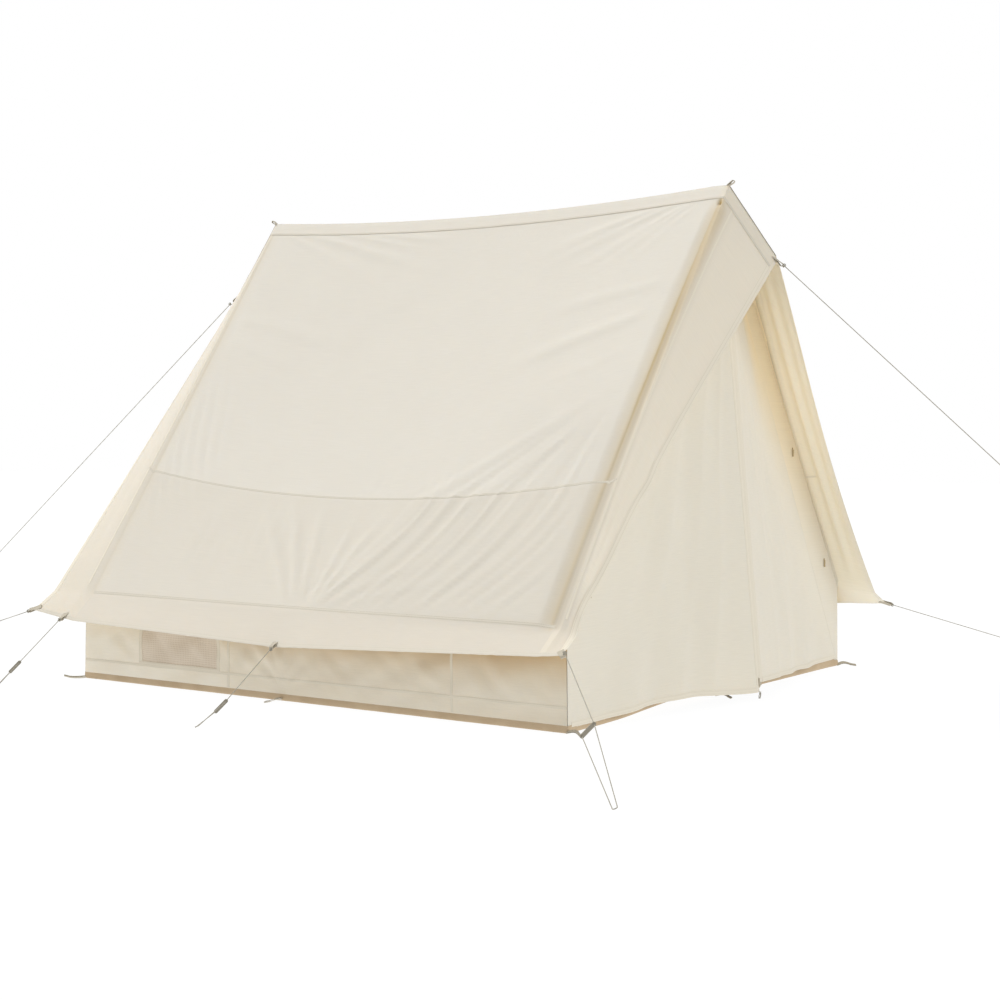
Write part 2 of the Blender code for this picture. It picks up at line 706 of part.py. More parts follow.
BEAK_LINE_END = {-1: Vector((0, -2.250, 0.824)), 1: Vector((0, 3.110, 0.264))}
FRONT_LEFT_PEG = Vector((-2.024, -1.848, 0.0))
FRONT_LEFT_RUNNER = Vector((-1.613, -1.537, 0.140))
MIDDLE_PEG = Vector((-1.717, -0.075, 0.0))
MIDDLE_RUNNER = Vector((-1.553, -0.051, 0.068))
REAR_EAVE_PEG = Vector((-1.650, 1.045, 0.0))
REAR_EAVE_RUNNER = Vector((-1.470, 1.085, 0.105))
REAR_CORNER_END = Vector((-1.305, 1.497, 0.200))
FRONT_RIGHT_END = Vector((1.540, -1.744, 0.113))
MIDDLE_TAB_Y = 0.041
TAB_SHARE = 0.97
EAVE_TAB_SHARE = 0.988
RUNNER_SLANT = Vector((0.0193, -0.0286, 0.0360))


def eye(start, end_point, sideways):
    """A straight line that ends in a small eye, which comes back beside the line."""
    along = (end_point - start).normalized()
    side_axis = sideways.normalized()
    neck = end_point - along * EYE_LENGTH
    centre = end_point - along * EYE_RADIUS
    points = [start, start.lerp(neck, 0.5), neck]
    for step in range(9):
        angle = math.radians(-120 + 30 * step)
        points.append(centre + along * EYE_RADIUS * math.cos(angle) + side_axis * EYE_RADIUS * math.sin(angle))
    points.append(neck + side_axis * (CORD_RADIUS * 2 + 0.001))
    return points


def runner(name, hole, slant, line_axis):
    """A flat bar across the line: the line runs through its upper hole, its foot holds the return."""
    long_axis = slant.normalized()
    face_axis = (line_axis - long_axis * line_axis.dot(long_axis)).normalized()
    width_axis = face_axis.cross(long_axis)
    end_margin = (RUNNER_LENGTH - slant.length) / 2
    middle = hole + long_axis * end_margin - long_axis * RUNNER_LENGTH / 2
    turn = Matrix((long_axis, width_axis, face_axis)).transposed().to_4x4()
    half = RUNNER_LENGTH / 2
    corner = RUNNER_WIDTH * 0.3
    wide = RUNNER_WIDTH / 2
    points = [(-half, -wide + corner), (-half + corner, -wide), (half - corner, -wide), (half, -wide + corner),
              (half, wide - corner), (half - corner, wide), (-half + corner, wide), (-half, wide - corner)]
    bar = outline(name, points, RUNNER_THICKNESS / 2, Matrix.Translation(middle) @ turn, PARTS, RUNNER)
    drill = cylinder(name + "_hole", hole - line_axis * 0.03, hole + line_axis * 0.03,
                     RUNNER_HOLE_RADIUS, CUTTERS, None, 12)
    boolean(bar, drill, "DIFFERENCE")
    return hole - slant, face_axis


def pegged_line(name, start, hole, peg, slant):
    """One rope in two stretches: tab, runner, round the peg place, and back up to the runner."""
    line_axis = (start - hole).normalized()
    foot, face_axis = runner(name + "_runner", hole, slant, line_axis)
    lift = Vector((0, 0, CORD_RADIUS + 0.0005))
    ground = peg + lift
    coming = (ground - hole).normalized()
    sideways = (slant - coming * slant.dot(coming)).normalized()
    clear = 0.008 + RUNNER_THICKNESS
    below = hole - line_axis * clear
    near_side = ground + sideways * PEG_TURN_RADIUS
    far_side = ground - sideways * PEG_TURN_RADIUS
    near_side.z = max(near_side.z, lift.z)
    far_side.z = max(far_side.z, lift.z)
    flat_way = Vector((coming.x, coming.y, 0)).normalized()
    centre = (near_side + far_side) / 2
    half = (near_side - far_side) / 2
    main = [start, start.lerp(hole, 0.5), hole, below, below.lerp(near_side, 0.5)]
    for step in range(7):
        angle = math.pi * step / 6
        main.append(centre + half * math.cos(angle) + flat_way * PEG_TURN_RADIUS * math.sin(angle))
    cord(name, main, CORD)
    cord_end = main[-1]
    rise = (foot - cord_end).normalized()
    top = foot - rise * (RUNNER_THICKNESS / 2 + GAP + CORD_RADIUS * 0.9) / max(abs(rise.dot(face_axis)), 0.2)
    begin = cord_end + rise * GAP * 2
    back = [begin, begin.lerp(top, 0.5), top]
    cord(name + "_return", back, CORD)


hoods = {}
for end, label in ((-1, "front"), (1, "rear")):
    for side, word in ((-1, "left"), (1, "right")):
        hoods[side, end] = hood("%s_%s_hood" % (label, word), side, end)

# Beak tabs lie on the left hood of each end
for end, label in ((-1, "front"), (1, "rear")):
    lead = BEAK_LINE_END[end] - beak_tip(end)
    root = hood_point(-1, end, MAIN_SHARE * WEBBING_WIDTH / 2 / WALL_X, TAB_SHARE)
    start = tab(label + "_beak_tab", root, lead, Vector((0, end, 0.8)), hoods[-1, end])
    cord("guyline_%s_beak" % label, eye(start, BEAK_LINE_END[end], Vector((1, 0, 0))), CORD)

# Corner tabs and eave tabs, and the lines that the left and front corners carry
for (side, end), panel in hoods.items():
    corner = hood_point(side, end, EAVE_TAB_SHARE, TAB_SHARE)
    pulled = side < 0 and end < 0
    if pulled:
        aim = FRONT_LEFT_RUNNER
    elif side < 0:
        aim = REAR_CORNER_END
    else:
        aim = Vector((FRONT_RIGHT_END.x, -end * FRONT_RIGHT_END.y, FRONT_RIGHT_END.z)) if end > 0 else FRONT_RIGHT_END
    tag = "%d_%d" % (side + 1, end + 1)
    start = tab("corner_tab_" + tag, corner, aim - corner, Vector((side, 0, 1.2)), panel)
    if pulled:
        pegged_line("guyline_front_left", start, aim, FRONT_LEFT_PEG, RUNNER_SLANT)
        continue
    if side < 0:
        cord("guyline_rear_left_corner", eye(start, REAR_CORNER_END, Vector((1, 0, 0))), CORD)
    elif end < 0:
        cord("guyline_front_right", eye(start, FRONT_RIGHT_END, Vector((-1, 0, 0))), CORD)
    root = hood_point(side, end, EAVE_TAB_SHARE, HOOD_FLAT_SHARE)
    aim = Vector((side * -REAR_EAVE_RUNNER.x, end * REAR_EAVE_RUNNER.y, REAR_EAVE_RUNNER.z))
    start = tab("eave_tab_" + tag, root, aim - root, Vector((side, 0, 1.2)), panel)
    if side < 0:
        pegged_line("guyline_rear_left_eave", start, aim, REAR_EAVE_PEG, RUNNER_SLANT)

for side, panel in ((-1, roof_left), (1, roof_right)):
    root = roof_point(side, MIDDLE_TAB_Y, EAVE_TAB_SHARE)
    aim = Vector((side * -MIDDLE_RUNNER.x, MIDDLE_RUNNER.y, MIDDLE_RUNNER.z))
    start = tab("middle_tab_%d" % (side + 1), root, aim - root, Vector((side, 0, 1.2)), panel)
    if side < 0:
        pegged_line("guyline_left_middle", start, aim, MIDDLE_PEG, RUNNER_SLANT)
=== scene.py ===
"""Visual model of a cotton canvas ridge tent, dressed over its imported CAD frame.

Metres, +Z up. The ridge runs along Y, the door gable faces -Y, and left is -X.
"""

import math
from functools import cache

import bmesh
import bpy
from mathutils import Matrix, Vector, noise


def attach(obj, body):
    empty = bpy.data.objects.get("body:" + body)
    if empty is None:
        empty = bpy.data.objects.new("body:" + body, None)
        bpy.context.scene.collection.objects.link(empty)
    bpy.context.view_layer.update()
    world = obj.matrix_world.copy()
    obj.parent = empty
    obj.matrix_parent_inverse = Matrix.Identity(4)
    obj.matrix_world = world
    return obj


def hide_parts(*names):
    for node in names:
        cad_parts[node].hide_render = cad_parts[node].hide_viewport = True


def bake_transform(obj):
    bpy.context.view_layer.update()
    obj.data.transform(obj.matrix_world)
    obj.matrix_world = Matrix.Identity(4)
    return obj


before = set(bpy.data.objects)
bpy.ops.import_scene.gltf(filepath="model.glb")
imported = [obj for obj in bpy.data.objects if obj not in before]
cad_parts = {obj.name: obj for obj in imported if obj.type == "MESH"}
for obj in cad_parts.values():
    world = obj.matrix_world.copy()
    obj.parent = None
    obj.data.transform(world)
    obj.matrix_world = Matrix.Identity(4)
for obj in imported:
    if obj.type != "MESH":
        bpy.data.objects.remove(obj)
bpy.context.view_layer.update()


# The studio
# A white sweep, lit from below as well, in an even white room. One large soft box stands above the
# rear left and a weaker one in front of the gable. The camera stands off the tent's front left
# corner, at chest height.
SHOT_PLACE = Vector((-5.884, -4.093, 0.938))
SHOT_HEADING = math.radians(55.937)
SHOT_DIP = math.radians(1.791)
SHOT_ROLL = math.radians(0.400)
SENSOR = 36.0
LENS = 62.48
ROOM_LIGHT = 0.50
SWEEP_LIGHT = 0.96


def linear(code):
    """An sRGB hex colour as the linear values that a shader takes."""
    parts = [int(code[i:i + 2], 16) / 255 for i in (1, 3, 5)]
    return tuple(p / 12.92 if p <= 0.04045 else ((p + 0.055) / 1.055) ** 2.4 for p in parts) + (1.0,)


def add_node(tree, kind, settings=None, links=None):
    """Adds a node, sets its properties (small letters) and sockets (capitals or numbers), links it."""
    made = tree.nodes.new(kind)
    for key, value in (settings or {}).items():
        if isinstance(key, int) or key[0].isupper():
            made.inputs[key].default_value = value
        else:
            setattr(made, key, value)
    for key, source in (links or {}).items():
        tree.links.new(source, made.inputs[key])
    return made


def new_finish(name, code, roughness, sockets=None):
    """A material of one colour. sockets holds further constants of its shader."""
    finish = bpy.data.materials.new(name)
    finish.use_nodes = True
    shader = finish.node_tree.nodes["Principled BSDF"]
    for key, value in {"Base Color": linear(code), "Roughness": roughness, **(sockets or {})}.items():
        shader.inputs[key].default_value = value
    return finish, finish.node_tree, shader


def select_only(piece):
    bpy.ops.object.select_all(action="DESELECT")
    piece.select_set(True)
    bpy.context.view_layer.objects.active = piece


bpy.ops.object.select_all(action="DESELECT")
forward = Vector((math.sin(SHOT_HEADING) * math.cos(SHOT_DIP), math.cos(SHOT_HEADING) * math.cos(SHOT_DIP),
                  -math.sin(SHOT_DIP)))
level = Vector((math.cos(SHOT_HEADING), -math.sin(SHOT_HEADING), 0))
rise = level.cross(forward)
right_way = level * math.cos(SHOT_ROLL) + rise * math.sin(SHOT_ROLL)
up_way = rise * math.cos(SHOT_ROLL) - level * math.sin(SHOT_ROLL)
turn = Matrix((right_way, up_way, -forward)).transposed()
bpy.ops.object.camera_add(location=SHOT_PLACE, rotation=turn.to_euler())
camera = bpy.context.object
camera.name = "shot"
camera.data.sensor_width = SENSOR
camera.data.lens = LENS
camera.data.clip_end = 200.0
bpy.context.scene.camera = camera
bpy.context.scene.view_settings.view_transform = "Standard"

room = bpy.data.worlds.new("white_room")
room.use_nodes = True
background = room.node_tree.nodes["Background"]
background.inputs["Color"].default_value = linear("#FFFFFF")
# The room behind is seen at full white, and lights the tent at half of that
seen = add_node(room.node_tree, "ShaderNodeMapRange", {"To Min": ROOM_LIGHT, "To Max": 1.0},
                {"Value": add_node(room.node_tree, "ShaderNodeLightPath").outputs["Is Camera Ray"]})
room.node_tree.links.new(seen.outputs["Result"], background.inputs["Strength"])
bpy.context.scene.world = room


def soft_light(name, towards, strength, spread):
    """A large soft box, as far off as a sun: towards points from the tent to the light."""
    aim = (-Vector(towards)).to_track_quat("-Z", "Y").to_euler()
    bpy.ops.object.light_add(type="SUN", location=Vector(towards) * 5, rotation=aim)
    lamp = bpy.context.object
    lamp.name = name
    lamp.data.energy = strength
    lamp.data.angle = math.radians(spread)


soft_light("roof_box", (-0.15, 0.65, 0.74), 2.15, 22)
soft_light("gable_box", (0.05, -0.96, 0.26), 1.00, 70)

sweep_finish = new_finish("white_sweep", "#4C4C4C", 0.95, {
    "Specular IOR Level": 0.0, "Emission Color": linear("#FFFFFF"), "Emission Strength": SWEEP_LIGHT})[0]
bpy.ops.object.select_all(action="DESELECT")
bpy.ops.mesh.primitive_plane_add(size=80, location=(0, 0, -0.0005))
sweep = bpy.context.object
sweep.name = "sweep"
sweep.data.materials.append(sweep_finish)


# Guylines
# Braided polyester cord, 3 mm thick and grey-beige. Each is tied to a webbing tab. Three come down
# to pegs in view: they pass a runner, turn round the peg's place and come back up to the runner.
CORD_THICK = 0.003
EYE_LENGTH = 0.040
EYE_RADIUS = 0.007
KNOT_RING = 0.0022
KNOT_HALF_LENGTH = 0.0042
KNOT_IN = 0.004
PEG_TURN = 0.009
RUNNER_SLANT = Vector((0.0193, -0.0286, 0.0360))
RUNNER_BELOW = 0.0125
RUNNER_HALF_THICK = 0.00225
STRAND_CLEAR = 0.0006


def stand_out(tree, shader, pattern, strength, depth, shades=None):
    """Lets a pattern stand out by a depth in metres, over any before it, and tint between two shades."""
    bump = add_node(tree, "ShaderNodeBump", {"Strength": strength, "Distance": depth}, {"Height": pattern})
    for link in list(shader.inputs["Normal"].links):
        tree.links.new(link.from_socket, bump.inputs["Normal"])
    tree.links.new(bump.outputs["Normal"], shader.inputs["Normal"])
    if shades:
        low, high = (linear(code) for code in shades)
        tint = add_node(tree, "ShaderNodeMix", {"data_type": "RGBA", 6: low, 7: high}, {"Factor": pattern})
        tree.links.new(tint.outputs[2], shader.inputs["Base Color"])


def patterned_finish(name, code, roughness, kind, settings, relief, shades=None, sockets=None, woven=False):
    """A finish with one pattern, over the whole piece or along its cloth. relief: strength and depth."""
    finish, tree, shader = new_finish(name, code, roughness, sockets)
    if woven:
        place = add_node(tree, "ShaderNodeUVMap", {"uv_map": "weave"}).outputs["UV"]
    else:
        place = add_node(tree, "ShaderNodeTexCoord").outputs["Object"]
    pattern = add_node(tree, kind, settings, {"Vector": place})
    stand_out(tree, shader, pattern.outputs["Fac"], *relief, shades)
    return finish


# The braid's strands cross the cord every 4 mm, and are drawn as fine light and dark bands
cord_finish = patterned_finish("braided_polyester_cord", "#A39E90", 0.75, "ShaderNodeTexWave",
                               {"bands_direction": "DIAGONAL", "Scale": 80.0, "Distortion": 1.0},
                               (0.4, 0.0006), ("#8E897B", "#B9B4A6"))
runner_finish = patterned_finish("anodised_runner", "#8E887A", 0.45, "ShaderNodeTexNoise",
                                 {"Scale": 900.0, "Detail": 3.0}, (0.15, 0.0003), sockets={"Metallic": 0.4})


def settle(piece, body, slot, *replaced):
    """Names the body that a piece rides on, and hides the CAD nodes that it takes the place of; slot is not
    used.
    """
    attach(piece, body)
    if replaced:
        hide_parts(*replaced)


def rope(name, points, radius=CORD_THICK / 2, closed=False):
    """One spline through the points, as thick as the cord: open as a line, or closed as a knot."""
    curve = bpy.data.curves.new(name, "CURVE")
    curve.dimensions = "3D"
    curve.bevel_depth = radius
    curve.bevel_resolution = 2 if closed else 3
    curve.use_fill_caps = not closed
    spline = curve.splines.new("POLY")
    spline.points.add(len(points) - 1)
    for point, place in zip(spline.points, points):
        point.co = (*place, 1.0)
    spline.use_cyclic_u = closed
    curve.materials.append(cord_finish)
    made = bpy.data.objects.new(name, curve)
    bpy.context.scene.collection.objects.link(made)
    return made


def knot(name, place, along):
    """A small overhand knot drawn tight round the line."""
    axis = Vector(along).normalized()
    side = axis.cross(Vector((0, 0, 1))).normalized()
    up = side.cross(axis)
    points = []
    for step in range(32):
        t = 2 * math.pi * step / 32
        ring = KNOT_RING * (2 + math.cos(3 * t))
        points.append(Vector(place) + side * ring * math.cos(2 * t) + up * ring * math.sin(2 * t)
                      + axis * KNOT_HALF_LENGTH * math.sin(3 * t))
    made = rope(name, points, closed=True)
    settle(made, "tent", "cord")
    return made


def tell_cord(line, points, far_end, with_pieces, **more):
    """Every line is limp cord, drawn taut, and leaves its tab or its peg at its first point; this only sums
    the line's run, and records nothing.
    """
    run = sum((b - a).length for a, b in zip(points, points[1:]))
    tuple(points[0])


def eyed_line(name, start, end, sideways):
    """A taut line that leaves the view and ends in a small eye."""
    start = Vector(start)
    end = Vector(end)
    along = (end - start).normalized()
    side = Vector(sideways)
    side = (side - along * side.dot(along)).normalized()
    neck = end - along * EYE_LENGTH
    centre = end - along * EYE_RADIUS
    points = [start, start.lerp(neck, 0.5), neck]
    for step in range(9):
        angle = math.radians(-120 + 30 * step)
        points.append(centre + along * EYE_RADIUS * math.cos(angle) + side * EYE_RADIUS * math.sin(angle))
    points.append(neck + side * (CORD_THICK + 0.001))
    line = rope(name + "_rope", points)
    settle(line, "tent", "cord", name)
    tell_cord(line, points, "knot", [knot(name + "_knot", start + along * KNOT_IN, along),
                                     knot(name + "_eye_knot", neck + side * 0.002, along)])


eyed_line("guyline_front_beak", (-0.004, -1.366, 1.609), (0, -2.250, 0.824), (1, 0, 0))
eyed_line("guyline_rear_beak", (-0.01497, 1.36069, 1.57501), (0, 3.110, 0.264), (1, 0, 0))
eyed_line("guyline_front_right", (1.22068, -1.3229, 0.26811), (1.540, -1.744, 0.113), (-1, 0, 0))
eyed_line("guyline_rear_left_corner", (-1.21538, 1.32548, 0.2665), (-1.305, 1.497, 0.200), (1, 0, 0))


def dress(finish, *nodes):
    """Gives CAD nodes that keep their shape their real finish."""
    for node in nodes:
        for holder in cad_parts[node].material_slots:
            holder.material = finish


def pegged_line(name, start, hole, peg):
    """Tab to runner to peg, and the strand that comes back up to the runner."""
    start = Vector(start)
    hole = Vector(hole)
    lift = Vector((0, 0, CORD_THICK / 2 + 0.0005))
    ground = Vector(peg) + lift
    coming = (ground - hole).normalized()
    sideways = (RUNNER_SLANT - coming * RUNNER_SLANT.dot(coming)).normalized()
    axis = (start - hole).normalized()
    below = hole - axis * RUNNER_BELOW
    near_side = ground + sideways * PEG_TURN
    far_side = ground - sideways * PEG_TURN
    near_side.z = max(near_side.z, lift.z)
    far_side.z = max(far_side.z, lift.z)
    flat_way = Vector((coming.x, coming.y, 0)).normalized()
    centre = (near_side + far_side) / 2
    half = (near_side - far_side) / 2
    points = [start, start.lerp(hole, 0.5), hole, below, below.lerp(near_side, 0.5)]
    for step in range(7):
        angle = math.pi * step / 6
        points.append(centre + half * math.cos(angle) + flat_way * PEG_TURN * math.sin(angle))
    line = rope(name + "_rope", points)
    settle(line, "tent", "cord", name)
    dress(runner_finish, name + "_runner")
    tell_cord(line, points, "bare", [knot(name + "_knot", start - axis * KNOT_IN, axis), name + "_runner"])
    # The strand back up ends flat against the runner's face
    foot = hole - RUNNER_SLANT
    long_axis = RUNNER_SLANT.normalized()
    face_axis = (axis - long_axis * axis.dot(long_axis)).normalized()
    climb = (foot - points[-1]).normalized()
    top = foot - climb * (RUNNER_HALF_THICK + 0.00165) / max(abs(climb.dot(face_axis)), 0.2)
    begin = points[-1] + climb * STRAND_CLEAR
    back_points = [begin, begin.lerp(top, 0.5), top]
    back = rope(name + "_back_rope", back_points)
    select_only(back)
    bpy.ops.object.convert(target="MESH")
    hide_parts(name + "_return")
    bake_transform(back)
    tell_cord(back, back_points, "bare", [name + "_runner"], path=back_points)


pegged_line("guyline_front_left", (-1.22591, -1.19446, 0.28392),
            (-1.613, -1.537, 0.140), (-2.024, -1.848, 0))
pegged_line("guyline_left_middle", (-1.23209, 0.03252, 0.2091),
            (-1.553, -0.051, 0.068), (-1.717, -0.075, 0))
pegged_line("guyline_rear_left_eave", (-1.2305, 1.1302, 0.24644),
            (-1.470, 1.085, 0.105), (-1.650, 1.045, 0))


# Pole arches
# Galvanised steel tube, 25 mm, in pressed sockets at the apex, elbows and slope joints. The bars,
# sockets and legs keep their CAD shapes; the legs stand in moulded rubber feet.
SIDES = ((-1, "left"), (1, "right"))
ENDS = ((-1, "front"), (1, "rear"))

steel_finish, steel_tree, steel_shader = new_finish("galvanised_steel", "#A7A9A8", 0.38, {"Metallic": 1.0})
# Zinc spangle, 12 mm across, shows as soft patches of brighter and duller metal
spangle = add_node(steel_tree, "ShaderNodeTexVoronoi", {"Scale": 85.0},
                   {"Vector": add_node(steel_tree, "ShaderNodeTexCoord").outputs["Object"]})
dull = add_node(steel_tree, "ShaderNodeMapRange", {"To Min": 0.30, "To Max": 0.48},
                {"Value": spangle.outputs["Distance"]})
steel_tree.links.new(dull.outputs["Result"], steel_shader.inputs["Roughness"])
rubber_finish = patterned_finish("moulded_rubber", "#232322", 0.7, "ShaderNodeTexNoise", {"Scale": 700.0},
                                 (0.2, 0.0004))
for _, end_word in ENDS:
    dress(steel_finish, end_word + "_apex_connector")
    for _, word in SIDES:
        dress(steel_finish, *("%s_%s_%s" % (end_word, word, part)
                              for part in ("upper_pole", "lower_pole", "elbow", "leg")))
        dress(rubber_finish, "%s_%s_foot" % (end_word, word))


# Fly
# One continuous canopy of 300 g cotton canvas: both slopes, the eave flaps and the four hoods
# beyond the pole arches. It sags between the arches, and pulls in soft diagonal creases.
WALL_X = 1.103
WALL_Z = 0.342
RIDGE_Z = 1.905
RIDGE_DIP = 0.040
SLOPE_DIP = 0.025
EAVE_X = 1.212
EAVE_TAB_Y = 0.041
EAVE_TAB_Z = 0.213
EAVE_RISE_FRONT = 0.044
EAVE_RISE_REAR = 0.029
ARCH_Y = 1.080
HALF_LENGTH = 1.131
CLOTH_RISE = 0.014
RIDGE_GROOVE = 0.006
# Front and rear: overhang of the ridge, then the beak's place and height
RIDGE_END = {-1: 0.059, 1: 0.020}
BEAK_Y = {-1: 1.342, 1: 1.326}
BEAK_Z = {-1: 1.619, 1: 1.595}
# How far out and how high a hood's lower corner is; a guyline pulls the near front one back
HOOD_CORNER = (1.302, 0.273)
PULLED_CORNER = (1.170, 0.272)
HOOD_REACH = 0.262
HOOD_HEM_DIP = {(-1, -1): 0.055, (1, -1): 0.033, (-1, 1): 0.0, (1, 1): 0.0}
HOOD_FLAT = 0.25
SLOPE_RUN = math.hypot(WALL_X, RIDGE_Z - WALL_Z)
FLAP = 0.088
CANVAS_THICK = 0.0012
CANVAS_ROUGHNESS = 0.92
CANVAS_SHEEN = 0.12
# Across a slope, sideways and up
OUT_X = 0.817
OUT_Z = 0.577
# The rows of threads below the level seam
LOWER_STRIP = 0.743


def mix(a, b, share):
    return a + (b - a) * share


def ease(x, low, high):
    x = min(max((x - low) / (high - low), 0.0), 1.0)
    return x * x * (3 - 2 * x)


def wobble(x, y, seed):
    """Smooth noise over a cloth, -1 to 1."""
    return noise.noise(Vector((x, y, seed)))


def hump(x, centre, wide):
    """A rounded bump: 1 at its centre, and near 0 two widths away."""
    return math.exp(-((x - centre) / wide) ** 2)


def ridge_z(y):
    share = min(abs(y) / ARCH_Y, 1.0)
    return RIDGE_Z - RIDGE_DIP * (1 - share * share)


def slope_base(side, down, y):
    share = min(abs(y) / ARCH_Y, 1.0)
    if down > 1:
        past = (down - 1) / FLAP
        low = EAVE_TAB_Z + (EAVE_RISE_FRONT if y < EAVE_TAB_Y else EAVE_RISE_REAR) * abs(y - EAVE_TAB_Y)
        return Vector((side * mix(WALL_X, EAVE_X, past), y, mix(WALL_Z, low, past)))
    x = WALL_X * down
    z = mix(ridge_z(y) + CLOTH_RISE, WALL_Z, down) - RIDGE_GROOVE * hump(x, 0, 0.010)
    dip_by = SLOPE_DIP * math.sin(math.pi * down) * (1 - share * share)
    return Vector((side * (x - OUT_X * dip_by), y, z - OUT_Z * dip_by))


def crest(phase, width=0.55):
    """A narrow fold once a turn: 1 on its crest, near 0 between."""
    return math.exp(-(math.sin(phase / 2) / width) ** 2)


def long_fold(front, run, fold):
    """One soft ridge in the cloth, which widens and dies away from its pulled end."""
    (front_a, run_a), (front_b, run_b), wide, high, bend = fold
    span = Vector((front_b - front_a, run_b - run_a))
    way = Vector((front - front_a, run - run_a))
    t = way.dot(span) / span.length_squared
    if not -0.1 < t < 1.1:
        return 0.0
    off = (way.x * span.y - way.y * span.x) / span.length + 0.004 * bend * t * (1 - t)
    off /= 0.001 * wide * mix(0.7, 1.25, t)
    return 0.001 * high * math.exp(-off * off) * ease(t, -0.1, 0.12) * (1 - ease(t, 0.5, 1.1))


# The slope's long folds. Each has its pulled end and its far end, in metres towards the front and
# down from the ridge, then its half width, height and bend in millimetres
LONG_FOLDS = (
    ((1.00, 0.02), (0.38, 0.250), 24, 6.5, 8), ((1.00, 0.03), (0.42, 0.31), 16, 4.6, 0),
    ((1.01, 0.05), (0.55, 0.36), 14, 3.4, -6), ((1.01, 0.07), (0.68, 0.36), 12, 2.8, 0),
    ((1.02, 0.10), (0.80, 0.36), 12, 2.4, 0), ((1.00, 0.46), (0.50, 0.56), 26, 5.2, 14),
    ((0.97, 0.60), (0.40, 0.82), 28, 6.5, 10), ((0.97, 0.76), (0.64, 0.89), 16, 2.4, 0),
    ((-1.00, 0.02), (-0.10, 0.280), 22, 8.5, 0), ((-0.74, 0.02), (-0.08, 0.12), 18, 7.5, 6),
    ((-1.02, 0.05), (-0.36, 0.34), 18, 4.2, 0), ((-0.84, 0.02), (-0.14, 0.18), 14, 4.6, 0),
    ((-1.06, 0.53), (-0.36, 0.68), 32, 5.0, -12), ((-1.05, 0.64), (-0.45, 0.84), 26, 3.6, 0),
    ((0.02, 1.92), (0.06, 1.46), 16, 3.6, 0), ((-0.02, 1.92), (-0.13, 1.42), 14, 6.5, 0),
    ((-0.04, 1.92), (-0.30, 1.40), 18, 7.5, 8), ((-0.07, 1.92), (-0.46, 1.42), 18, 7.0, 10),
    ((0.04, 1.91), (0.19, 1.46), 14, 4.0, -10), ((0.05, 1.91), (0.36, 1.50), 14, 4.4, -16),
    ((0.08, 1.91), (0.52, 1.66), 14, 3.8, -22), ((0.14, 1.91), (0.66, 1.74), 13, 3.2, -20),
    ((0.30, 1.42), (0.99, 0.90), 20, 4.0, 0), ((0.52, 1.44), (0.99, 1.00), 17, 3.6, 0),
)


def drawn_folds(front, run, seed):
    """The close folds of the lower front quarter, drawn from the eave's middle tab up to the arch."""
    past = run - 1.40
    if past > 0:
        cross = front + 0.30 * past + 0.16 * (past / 0.45) ** 2
        near = 1.0
    else:
        near = max(1 + 1.9 * past, 0.08)
        cross = (front + 1.957 * past) / near
    room = ease(cross, 0.10, 0.45) * (1 - ease(front, 0.92, 1.03))
    room *= ease(near, 0.10, 0.40) * mix(0.35, 1.0, near)
    if room <= 0:
        return 0.0
    sway = wobble(cross * 7.0, run * 0.8, seed)
    some = 0.65 + 1.3 * wobble(cross * 11.0, run * 1.3, seed + 4.0)
    fine = 0.5 + 1.2 * wobble(cross * 17.0, run * 2.4, seed + 8.0)
    total = 0.0062 * max(some, 0.0) * (crest(2 * math.pi * cross / 0.074 + 3.6 * sway) - 0.45)
    total += 0.0024 * max(fine, 0.0) * (crest(2 * math.pi * cross / 0.041 + 5.0 * sway) - 0.45) * near
    return total * room


def row_of_folds(front, run, angle, spacing, centre, reach, height, seed):
    """Side by side folds that rise towards the front at an angle, and fade away from their centre."""
    a = math.radians(angle)
    across = front * math.sin(a) + run * math.cos(a)
    along = front * math.cos(a) - run * math.sin(a)
    fade = hump(front, centre[0], reach[0]) * hump(run, centre[1], reach[1])
    sway = spacing * wobble(along * 1.7, across * 2.5, seed)
    some = 0.6 + 0.9 * wobble(along * 2.0, across * 6.0, seed + 7.0)
    return height * fade * max(some, 0.0) * (crest(2 * math.pi * (across + sway) / spacing) - 0.45)


# Rows of short folds: angle, spacing, centre and reach (towards the front, down the slope), height
ROWS = (
    (113, 0.058, (-0.97, 1.20), (0.16, 0.26), 0.0085),
    (88, 0.048, (0.10, 1.34), (1.00, 0.05), 0.0022),
    (92, 0.070, (-0.45, 1.60), (0.40, 0.20), 0.0032),
    (86, 0.055, (0.55, 1.87), (0.50, 0.05), 0.0024),
)


def seam_down(along):
    """Where the level seam crosses the slope, as a share of the way down."""
    along = min(max(along, -1.0), 1.0)
    return 0.6958 + 0.0412 * (1 - along * along) - 0.002 * along


def slope_creases(side, down, along):
    front = -along * ARCH_Y
    run = down * SLOPE_RUN
    seed = 3.0 if side < 0 else 11.0
    total = 0.0025 * wobble(front * 1.6, run * 1.6, seed + 31.0)
    total += drawn_folds(front, run, seed)
    for fold in LONG_FOLDS:
        total += long_fold(front, run, fold)
    for index, row in enumerate(ROWS):
        total += row_of_folds(front, run, *row, seed + 10 + index)
    return total * ease(run, 0.04, 0.12) * (1 - 0.85 * ease(down, 0.955, 0.998))


def valley(end, down):
    """How far beyond an arch the fold is deepest. The front one starts at the ridge band's corner."""
    return 0.066 * (1 - min(down, 1.0)) ** 2 - 0.014 if end < 0 else 0.0


def narrowing(side, end, share):
    """How much shorter a hood is at a share of the way down. The near front one is pulled in most."""
    return mix(1.0, 0.4 if side < 0 and end < 0 else 0.85, share)


def beyond_arch(side, along, share):
    """Metres beyond the nearer arch, and less than 0 between the two."""
    out = abs(along) - 1
    return out * (ARCH_Y if out <= 0 else HOOD_REACH * narrowing(side, along, share))


